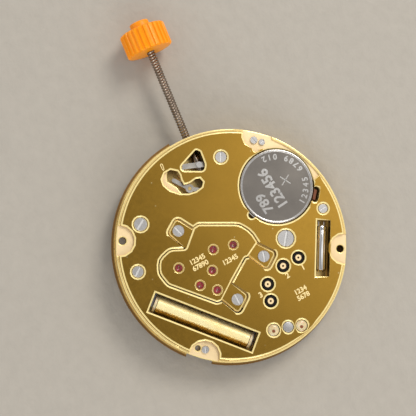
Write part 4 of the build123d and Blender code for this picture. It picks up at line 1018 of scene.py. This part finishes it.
# The cell's profile goes from the middle of its lid round the rolled edge to the cap below; a
# ring of painted highlight lies just over the groove and the rolled edge
CELL_SIDES = 128
ROLL_CENTRE, ROLL_RADIUS = (3.80, CELL_TOP - 0.15), 0.15
CELL_PROFILE = (
    (0, CELL_TOP), (3.66, CELL_TOP), (3.70, CELL_TOP - 0.03), (3.74, CELL_TOP - 0.03),
    (3.78, CELL_TOP), *arc(ROLL_CENTRE, (ROLL_RADIUS, ROLL_RADIUS), 0, np.pi / 2, 7),
    (3.95, 1.15), (3.90, 1.0), (3.80, 0.97), (3.30, 0.97), (3.28, 0.76), (3.22, 0.72), (0, 0.72),
)
HIGHLIGHT_RING_PROFILE = (
    (3.66, CELL_TOP + 0.001), (3.72, CELL_TOP - 0.025), (3.78, CELL_TOP + 0.001),
    *arc(ROLL_CENTRE, (ROLL_RADIUS + 0.002, ROLL_RADIUS + 0.002), 0, 1.3, 6),
)
PLUS_TURNS = (35.5, 125.5)
PLUS_LOW = (0.68, 0.075, CELL_TOP - 0.01)
PLUS_HIGH = (0.65, 0.045, CELL_TOP + 0.025)


class MOVEMENT_OT_cell(bpy.types.Operator):
    """The button cell: rolled edge, fine groove, stepped cap below and a raised plus sign, whose
    bars are given at foot and top by half their length, half their width and their height"""

    bl_idname = "movement.cell"
    bl_label = "Cell"

    def execute(self, context):
        shapes = [
            turned(CELL_PROFILE, CELL_PLACE, CELL_SIDES),
            # The ring of painted highlight
            turned(HIGHLIGHT_RING_PROFILE, CELL_PLACE, CELL_SIDES, finish=1),
        ]
        faces = ((0, 1, 5, 4), (1, 2, 6, 5), (2, 3, 7, 6), (3, 0, 4, 7), (4, 5, 6, 7), (3, 2, 1, 0))
        corners = ((-1, -1), (1, -1), (1, 1), (-1, 1))
        for turn in PLUS_TURNS:
            points = [
                (*on_plan(half_length * i, half_width * j, PLUS_PLACE, turn), height)
                for half_length, half_width, height in (PLUS_LOW, PLUS_HIGH) for i, j in corners
            ]
            shapes.append((np.array(points), np.array(faces), 1))
        make_piece("cell_can", shapes, ("cell", "cell_highlight_and_marks"), "cell", ("battery",))
        return {"FINISHED"}


# Winding: half its length, its radius and that of its ends, the ridge's height, rows for each turn
# of wire, and its slow swell as sums of waves of height, rate and phase; then the height across the
# axis below which its lower side takes a painted shade, and the wavy line of that painted shade as
# sums of such waves
COIL_HALF_LENGTH, COIL_RADIUS, COIL_END_RADIUS = 5.16, 0.93, 0.45
RIDGE_HEIGHT, RIDGE_ROWS, COIL_SIDES = 0.030, 5, 48
COIL_SWELL = ((0.012, 2.1, 0), (0.008, 5.3, 1))
COIL_SHADE_HEIGHT = -0.34
COIL_SHADE_LINE = ((0.05, 37, 0), (0.05, 61, 1), (0.04, 113, 0))


def waves(x, terms):
    """The sum of sine waves of a height, a rate and a phase."""
    return sum(height * np.sin(x * rate + phase) for height, rate, phase in terms)


class MOVEMENT_OT_coil(bpy.types.Operator):
    """The winding of hair-thin wire: one unbroken ridge that runs round the former once for each
    pitch. Below a wavy line its lower side takes a darker colour as painted shade, and above that
    line it takes a brighter, painted lit colour"""

    bl_idname = "movement.coil"
    bl_label = "Coil"

    def execute(self, context):
        pitch = context.scene.movement.wire_pitch / MM
        rows = int(2 * COIL_HALF_LENGTH / pitch * RIDGE_ROWS)
        x = np.linspace(-COIL_HALF_LENGTH, COIL_HALF_LENGTH, rows)
        angle = full_turn(COIL_SIDES)
        ridge = np.abs(np.sin(np.pi * (x[:, None] / pitch - angle[None] / (2 * np.pi))))
        r = COIL_RADIUS + RIDGE_HEIGHT * ridge + waves(x, COIL_SWELL)[:, None]
        r[0] = r[-1] = COIL_END_RADIUS
        # Painted shade: the faces on the lower side below the wavy line take the darker finish
        shade_border = COIL_SHADE_HEIGHT + waves(x, COIL_SHADE_LINE)
        shaded_faces = (r * np.cos(angle) < shade_border[:, None]).astype(int)[:-1].ravel()
        winding = round_bar(x, r, COIL_SIDES, shaded_faces)
        winding = along_axis(winding, (*COIL_PLACE, COIL_HEIGHT), COIL_TURN)
        make_piece("fine_winding", [winding], ("winding_lit", "winding_shade"), "movement",
                   ("coil_winding",), sharp_angle=60)
        return {"FINISHED"}


# Profiles of pieces that lie down, as (radius, place along the axis)
CAN_SIDES = 56
CAN_PROFILE = (
    (0, -2.4), *arc((0.35, -2.15), (0.25, -0.25), 0, np.pi / 2, 7),
    (0.6, 1.85), (0.57, 1.92), (0.57, 2.0), (0.6, 2.07), (0.6, 2.3), (0.57, 2.38), (0.5, 2.4),
    (0, 2.4),
)
LEAD_SIDES = 16
LEAD_OFFSETS = (-0.28, 0.28)
LEAD_PROFILE = ((0, 2.38), (0.08, 2.38), (0.08, 2.9), (0, 2.9))


class MOVEMENT_OT_crystal(bpy.types.Operator):
    """The crystal's drawn can with a rounded end, a crimped foot and two leads"""

    bl_idname = "movement.crystal"
    bl_label = "Crystal"

    def execute(self, context):
        shapes = []
        for profile, sides, offsets in (
            (CAN_PROFILE, CAN_SIDES, (0,)), (LEAD_PROFILE, LEAD_SIDES, LEAD_OFFSETS)
        ):
            radii, places = zip(*profile)
            points, faces, finish = round_bar(places, radii, sides)
            for offset in offsets:
                shape = (points + np.array((0, offset, 0)), faces, finish)
                shapes.append(along_axis(shape, (*CRYSTAL_PLACE, CRYSTAL_HEIGHT), CRYSTAL_TURN))
        make_piece("crystal_can", shapes, ("can",), "movement", ("quartz_crystal",))
        return {"FINISHED"}


# Stem: a round pilot, a square, a body with a groove, and a thread with its crests at a radius
STEM_SIDES = 32
PILOT_PROFILE = ((0, 2.9), (0.17, 2.9), (0.2, 2.95), (0.2, 4.5))
SQUARE_HALF, SQUARE_ENDS = 0.22, (4.5, 8.0)
BODY_PROFILE = (
    (0.5, 8.0), (0.5, 8.923), (0.25, 8.923), (0.25, 9.283), (0.5, 9.283), (0.5, 11.55),
    (0.45, 11.6),
)
THREAD_RADIUS, THREAD_ENDS = 0.45, (11.62, 23.8)
THREAD_ROWS, THREAD_POWER = 8, 1.3


class MOVEMENT_OT_stem(bpy.types.Operator):
    """The stem with its pilot, square, grooved body and a real thread. The thread's radius falls
    from its crest by the depth times a power of the distance from the crest"""

    bl_idname = "movement.stem"
    bl_label = "Stem"

    def execute(self, context):
        pitch = context.scene.movement.thread_pitch / MM
        depth = context.scene.movement.thread_depth / MM
        angle = full_turn(STEM_SIDES)
        square = SQUARE_HALF / np.maximum(np.abs(np.cos(angle)), np.abs(np.sin(angle)))
        start, end = THREAD_ENDS
        run = np.linspace(start, end, math.ceil((end - start) / pitch * THREAD_ROWS))
        phase = (run[:, None] / pitch - angle[None] / (2 * np.pi)) % 1.0
        thread = THREAD_RADIUS - depth * np.abs(2 * phase - 1) ** THREAD_POWER
        rows = [(np.full(STEM_SIDES, radius), place) for radius, place in PILOT_PROFILE]
        rows += [(square, place) for place in SQUARE_ENDS]
        rows += [(np.full(STEM_SIDES, radius), place) for radius, place in BODY_PROFILE]
        rows += [*zip(thread, run), (np.zeros(STEM_SIDES), end)]
        radii, places = zip(*rows)
        bar = along_axis(round_bar(places, radii, STEM_SIDES), (0, 0, STEM_HEIGHT), 0)
        make_piece("stem_rod", [bar], ("stem",), "stem", ("winding_stem",),
                   sharp_angle=45)
        return {"FINISHED"}


# Crown: the depth of its grooves, and its rows as place along the axis, radius and the share of
# the grooves' depth
RIB_SIDES = 12
GROOVE_DEPTH = 0.17
CROWN_START, CROWN_END = 22.2, 24.75
CROWN_ROWS = (
    (CROWN_START, 0.0, 0), (CROWN_START, 0.46, 0), (CROWN_START, 2.2, 0),
    (CROWN_START + 0.03, 2.33, 0.5), (CROWN_START + 0.12, 2.45, 1), (CROWN_START + 0.16, 2.48, 1),
    (CROWN_END - 0.16, 2.48, 1), (CROWN_END - 0.12, 2.45, 1), (CROWN_END - 0.03, 2.33, 0.5),
    (CROWN_END, 2.2, 0), (CROWN_END, 1.1, 0), (CROWN_END + 0.05, 1.05, 0),
    (CROWN_END + 0.68, 1.05, 0), (CROWN_END + 0.76, 1.01, 0), (CROWN_END + 0.8, 0.92, 0),
    (CROWN_END + 0.8, 0.35, 0), (CROWN_END + 0.74, 0.25, 0), (CROWN_END + 0.74, 0.0, 0),
)


class MOVEMENT_OT_crown(bpy.types.Operator):
    """The ribbed plastic crown: the radius at an angle is that of the body less the depth of the
    grooves between the ribs, which fades out towards both ends"""

    bl_idname = "movement.crown"
    bl_label = "Crown"

    def execute(self, context):
        ribs = context.scene.movement.ribs
        sides = ribs * RIB_SIDES
        rib = np.clip(0.5 - 1.5 * np.cos(ribs * full_turn(sides)), 0, 1)
        rib = rib * rib * (3 - 2 * rib)
        places = [place for place, radius, share in CROWN_ROWS]
        radii = [radius - GROOVE_DEPTH * share * (1 - rib) for place, radius, share in CROWN_ROWS]
        body = along_axis(round_bar(places, radii, sides), (0, 0, STEM_HEIGHT), 0)
        make_piece("crown_body", [body], ("crown",), "stem", ("crown",),
                   sharp_angle=28)
        return {"FINISHED"}


# Pointer: half its length, half its width and how much that grows towards one end, the power that
# squares its ends, the width of its line, and how far the line goes below and above the cover
POINTER_HALF_LENGTH, POINTER_HALF_WIDTH, POINTER_TAPER = 0.34, 0.10, 0.03
POINTER_POWER, POINTER_LINE, POINTER_SIDES = 0.6, 0.09, 24
POINTER_LEVELS = (COVER_TOP - 0.01, COVER_TOP + 0.012)


def squared(wave):
    """A wave with steeper flanks and flatter crests."""
    return np.sign(wave) * np.abs(wave) ** POINTER_POWER


class MOVEMENT_OT_marks(bpy.types.Operator):
    """Small marks: an outlined pointer by the lever window, and plain figures on the cover, the
    bridge and the cell. The pointer is an ellipse of squared sine and cosine"""

    bl_idname = "movement.marks"
    bl_label = "Marks"

    def execute(self, context):
        cos, sin = np.cos(full_turn(POINTER_SIDES)), np.sin(full_turn(POINTER_SIDES))
        x = POINTER_PLACE[0] + POINTER_HALF_LENGTH * squared(cos)
        y = POINTER_PLACE[1] + (POINTER_HALF_WIDTH + POINTER_TAPER * cos) * squared(sin)
        loop = flat_bar(np.column_stack((x, y)), POINTER_LINE, *POINTER_LEVELS)
        make_piece("pointer_mark", [loop], ("figure",), "movement")
        for name, rows, height, finish, body, slot in FIGURES:
            mesh = bpy.data.meshes.new(name)
            finish_piece(name, figures(rows, height), mesh, (finish,), body, (),
                         FIGURE_SHARP_ANGLE)
        return {"FINISHED"}


# Floor: half its side, and its height at the hand centre with its rise along x and y. It is the
# plane on which the movement rests: on the minute post's tip, the crown and the flange by the cell.
FLOOR_HALF_SIDE = 600
FLOOR_HEIGHT, FLOOR_RISE_X, FLOOR_RISE_Y = -1.06, -0.0183, -0.0794

# Room: its colour low and overhead, and the heights between which one turns into the other
ROOM_PALE, ROOM_DIM, ROOM_BAND = (0.95, 0.95, 0.97, 1), (0.33, 0.33, 0.33, 1), (0.55, 0.93)

# Bright patch of the room: its colour, its middle as a direction, and how far it reaches
PATCH_COLOUR, PATCH_DIRECTION, PATCH_REACH = (1.7, 1.7, 1.7, 1), (0.032, -0.350, 0.936), 0.27

# Lamps as name, place and size in metres, power and colour
LAMPS = (
    ("key lamp", (0.16, -0.20, 0.30), 0.16, 0.76, (1.0, 0.97, 0.92)),
    ("side lamp", (-0.30, 0.05, 0.16), 0.18, 0.3, (1.0, 0.98, 0.95)),
)

# Camera: its angle of view in degrees, its axes to the right, up and back, and its place in metres
CAMERA_ANGLE = 21.79314
CAMERA_AXES = (
    (-0.38487434, -0.91254972, 0.13829225),
    (0.92270352, -0.37682674, 0.08136223),
    (-0.02213486, 0.15891698, 0.98704379),
)
CAMERA_PLACE = (0.0020508, 0.0188644, 0.1134978)
SENSOR_WIDTH = 36.0
CLIP_START = 0.001


def stand(scene, name, data, axes, place):
    """An object for a lamp or the camera, with its right, up and back axes, at a place."""
    holder = bpy.data.objects.new(name, data)
    holder.matrix_world = Matrix.Translation(place) @ Matrix(axes).transposed().to_4x4()
    scene.collection.objects.link(holder)
    return holder


class MOVEMENT_OT_stage(bpy.types.Operator):
    """Floor, lights and the camera at the photograph's angle"""

    bl_idname = "movement.stage"
    bl_label = "Stage"

    def execute(self, context):
        scene = context.scene
        self.floor(scene)
        self.room(scene)
        self.lamps(scene)
        self.camera(scene)
        scene.view_settings.view_transform = "Standard"
        return {"FINISHED"}

    def floor(self, scene):
        """One slightly tilted plane with a faint mottle."""
        side = np.linspace(-FLOOR_HALF_SIDE, FLOOR_HALF_SIDE, 3)
        x, y = np.meshgrid(side, side, indexing="ij")
        z = FLOOR_HEIGHT + FLOOR_RISE_X * x + FLOOR_RISE_Y * y
        points, faces, _ = sheet(np.stack((x, y, z), -1))
        mesh = bpy.data.meshes.new("floor")
        mesh.from_pydata((points * MM).tolist(), [], faces[:, ::-1].tolist())
        material = bpy.data.materials.new("Floor")
        material.use_nodes = True
        tree = material.node_tree
        shader = tree.nodes["Principled BSDF"]
        values = {"Scale": 900.0, "Detail": 5.0, "Vector": object_place(tree)}
        noise = add(tree, "ShaderNodeTexNoise", values).outputs[0]
        colour = tuple(scene.movement.floor)
        tone = blended(tree, noise, (*darker(colour, 0.93), 1), (*darker(colour, 1.07), 1))
        tree.links.new(tone, shader.inputs["Base Color"])
        tree.links.new(bumped(tree, noise, 0.0002), shader.inputs["Normal"])
        shader.inputs["Roughness"].default_value = 0.9
        mesh.materials.append(material)
        floor = bpy.data.objects.new("floor", mesh)
        scene.collection.objects.link(floor)

    def room(self, scene):
        """A pale room that is dimmer overhead, with a soft bright patch there."""
        world = bpy.data.worlds.new("Studio")
        world.use_nodes = True
        tree = world.node_tree
        direction = add(tree, "ShaderNodeTexCoord").outputs["Generated"]
        height = add(tree, "ShaderNodeSeparateXYZ", {0: direction}).outputs["Z"]
        room = blended(tree, mapped(tree, height, *ROOM_BAND), ROOM_PALE, ROOM_DIM)
        values = {0: direction, 1: PATCH_DIRECTION}
        span = add(tree, "ShaderNodeVectorMath", values, operation="DISTANCE").outputs["Value"]
        patch = mapped(tree, span, 0.0, PATCH_REACH, 1.0, 0.0)
        light = blended(tree, patch, room, PATCH_COLOUR)
        tree.links.new(light, tree.nodes["Background"].inputs["Color"])
        scene.world = world

    def lamps(self, scene):
        """Two soft round lamps that face the hand centre."""
        for name, place, size, power, colour in LAMPS:
            lamp = bpy.data.lights.new(name, "AREA")
            lamp.shape = "DISK"
            lamp.size = size
            lamp.energy = power
            lamp.color = colour
            back = np.array(place) / np.linalg.norm(place)
            side = np.cross((0, 0, 1), back)
            side /= np.linalg.norm(side)
            stand(scene, name, lamp, (side, np.cross(back, side), back), place)

    def camera(self, scene):
        """The camera stands where the photograph's perspective puts it."""
        data = bpy.data.cameras.new("camera")
        data.sensor_width = SENSOR_WIDTH
        data.lens = SENSOR_WIDTH / 2 / math.tan(math.radians(CAMERA_ANGLE / 2))
        data.clip_start = CLIP_START
        scene.camera = stand(scene, "camera", data, CAMERA_AXES, CAMERA_PLACE)


class MOVEMENT_PT_panel(bpy.types.Panel):
    """Lists the steps that dress the movement"""

    bl_idname = "MOVEMENT_PT_panel"
    bl_label = "Quartz watch movement"
    bl_space_type = "VIEW_3D"
    bl_region_type = "UI"
    bl_category = "Movement"

    def draw(self, context):
        for name in MOVEMENT_PG_finish.__annotations__:
            self.layout.prop(context.scene.movement, name)
        for operator in OPERATORS:
            self.layout.operator(operator.bl_idname)


OPERATORS = (
    MOVEMENT_OT_finishes, MOVEMENT_OT_plates, MOVEMENT_OT_screws, MOVEMENT_OT_jewels,
    MOVEMENT_OT_contacts, MOVEMENT_OT_rivets, MOVEMENT_OT_cell, MOVEMENT_OT_coil,
    MOVEMENT_OT_crystal, MOVEMENT_OT_stem, MOVEMENT_OT_crown, MOVEMENT_OT_marks,
    MOVEMENT_OT_stage,
)


def register():
    """Adds the classes and the scene's settings."""
    bpy.utils.register_class(MOVEMENT_PG_finish)
    for cls in OPERATORS + (MOVEMENT_PT_panel,):
        bpy.utils.register_class(cls)
    bpy.types.Scene.movement = PointerProperty(type=MOVEMENT_PG_finish)


def unregister():
    """Takes the settings and the classes away."""
    del bpy.types.Scene.movement
    for cls in (MOVEMENT_PT_panel,) + OPERATORS[::-1]:
        bpy.utils.unregister_class(cls)
    bpy.utils.unregister_class(MOVEMENT_PG_finish)


def main():
    """Dresses the movement step by step."""
    register()
    for operator in OPERATORS:
        group, name = operator.bl_idname.split(".")
        getattr(getattr(bpy.ops, group), name)()


if __name__ == "__main__":
    main()
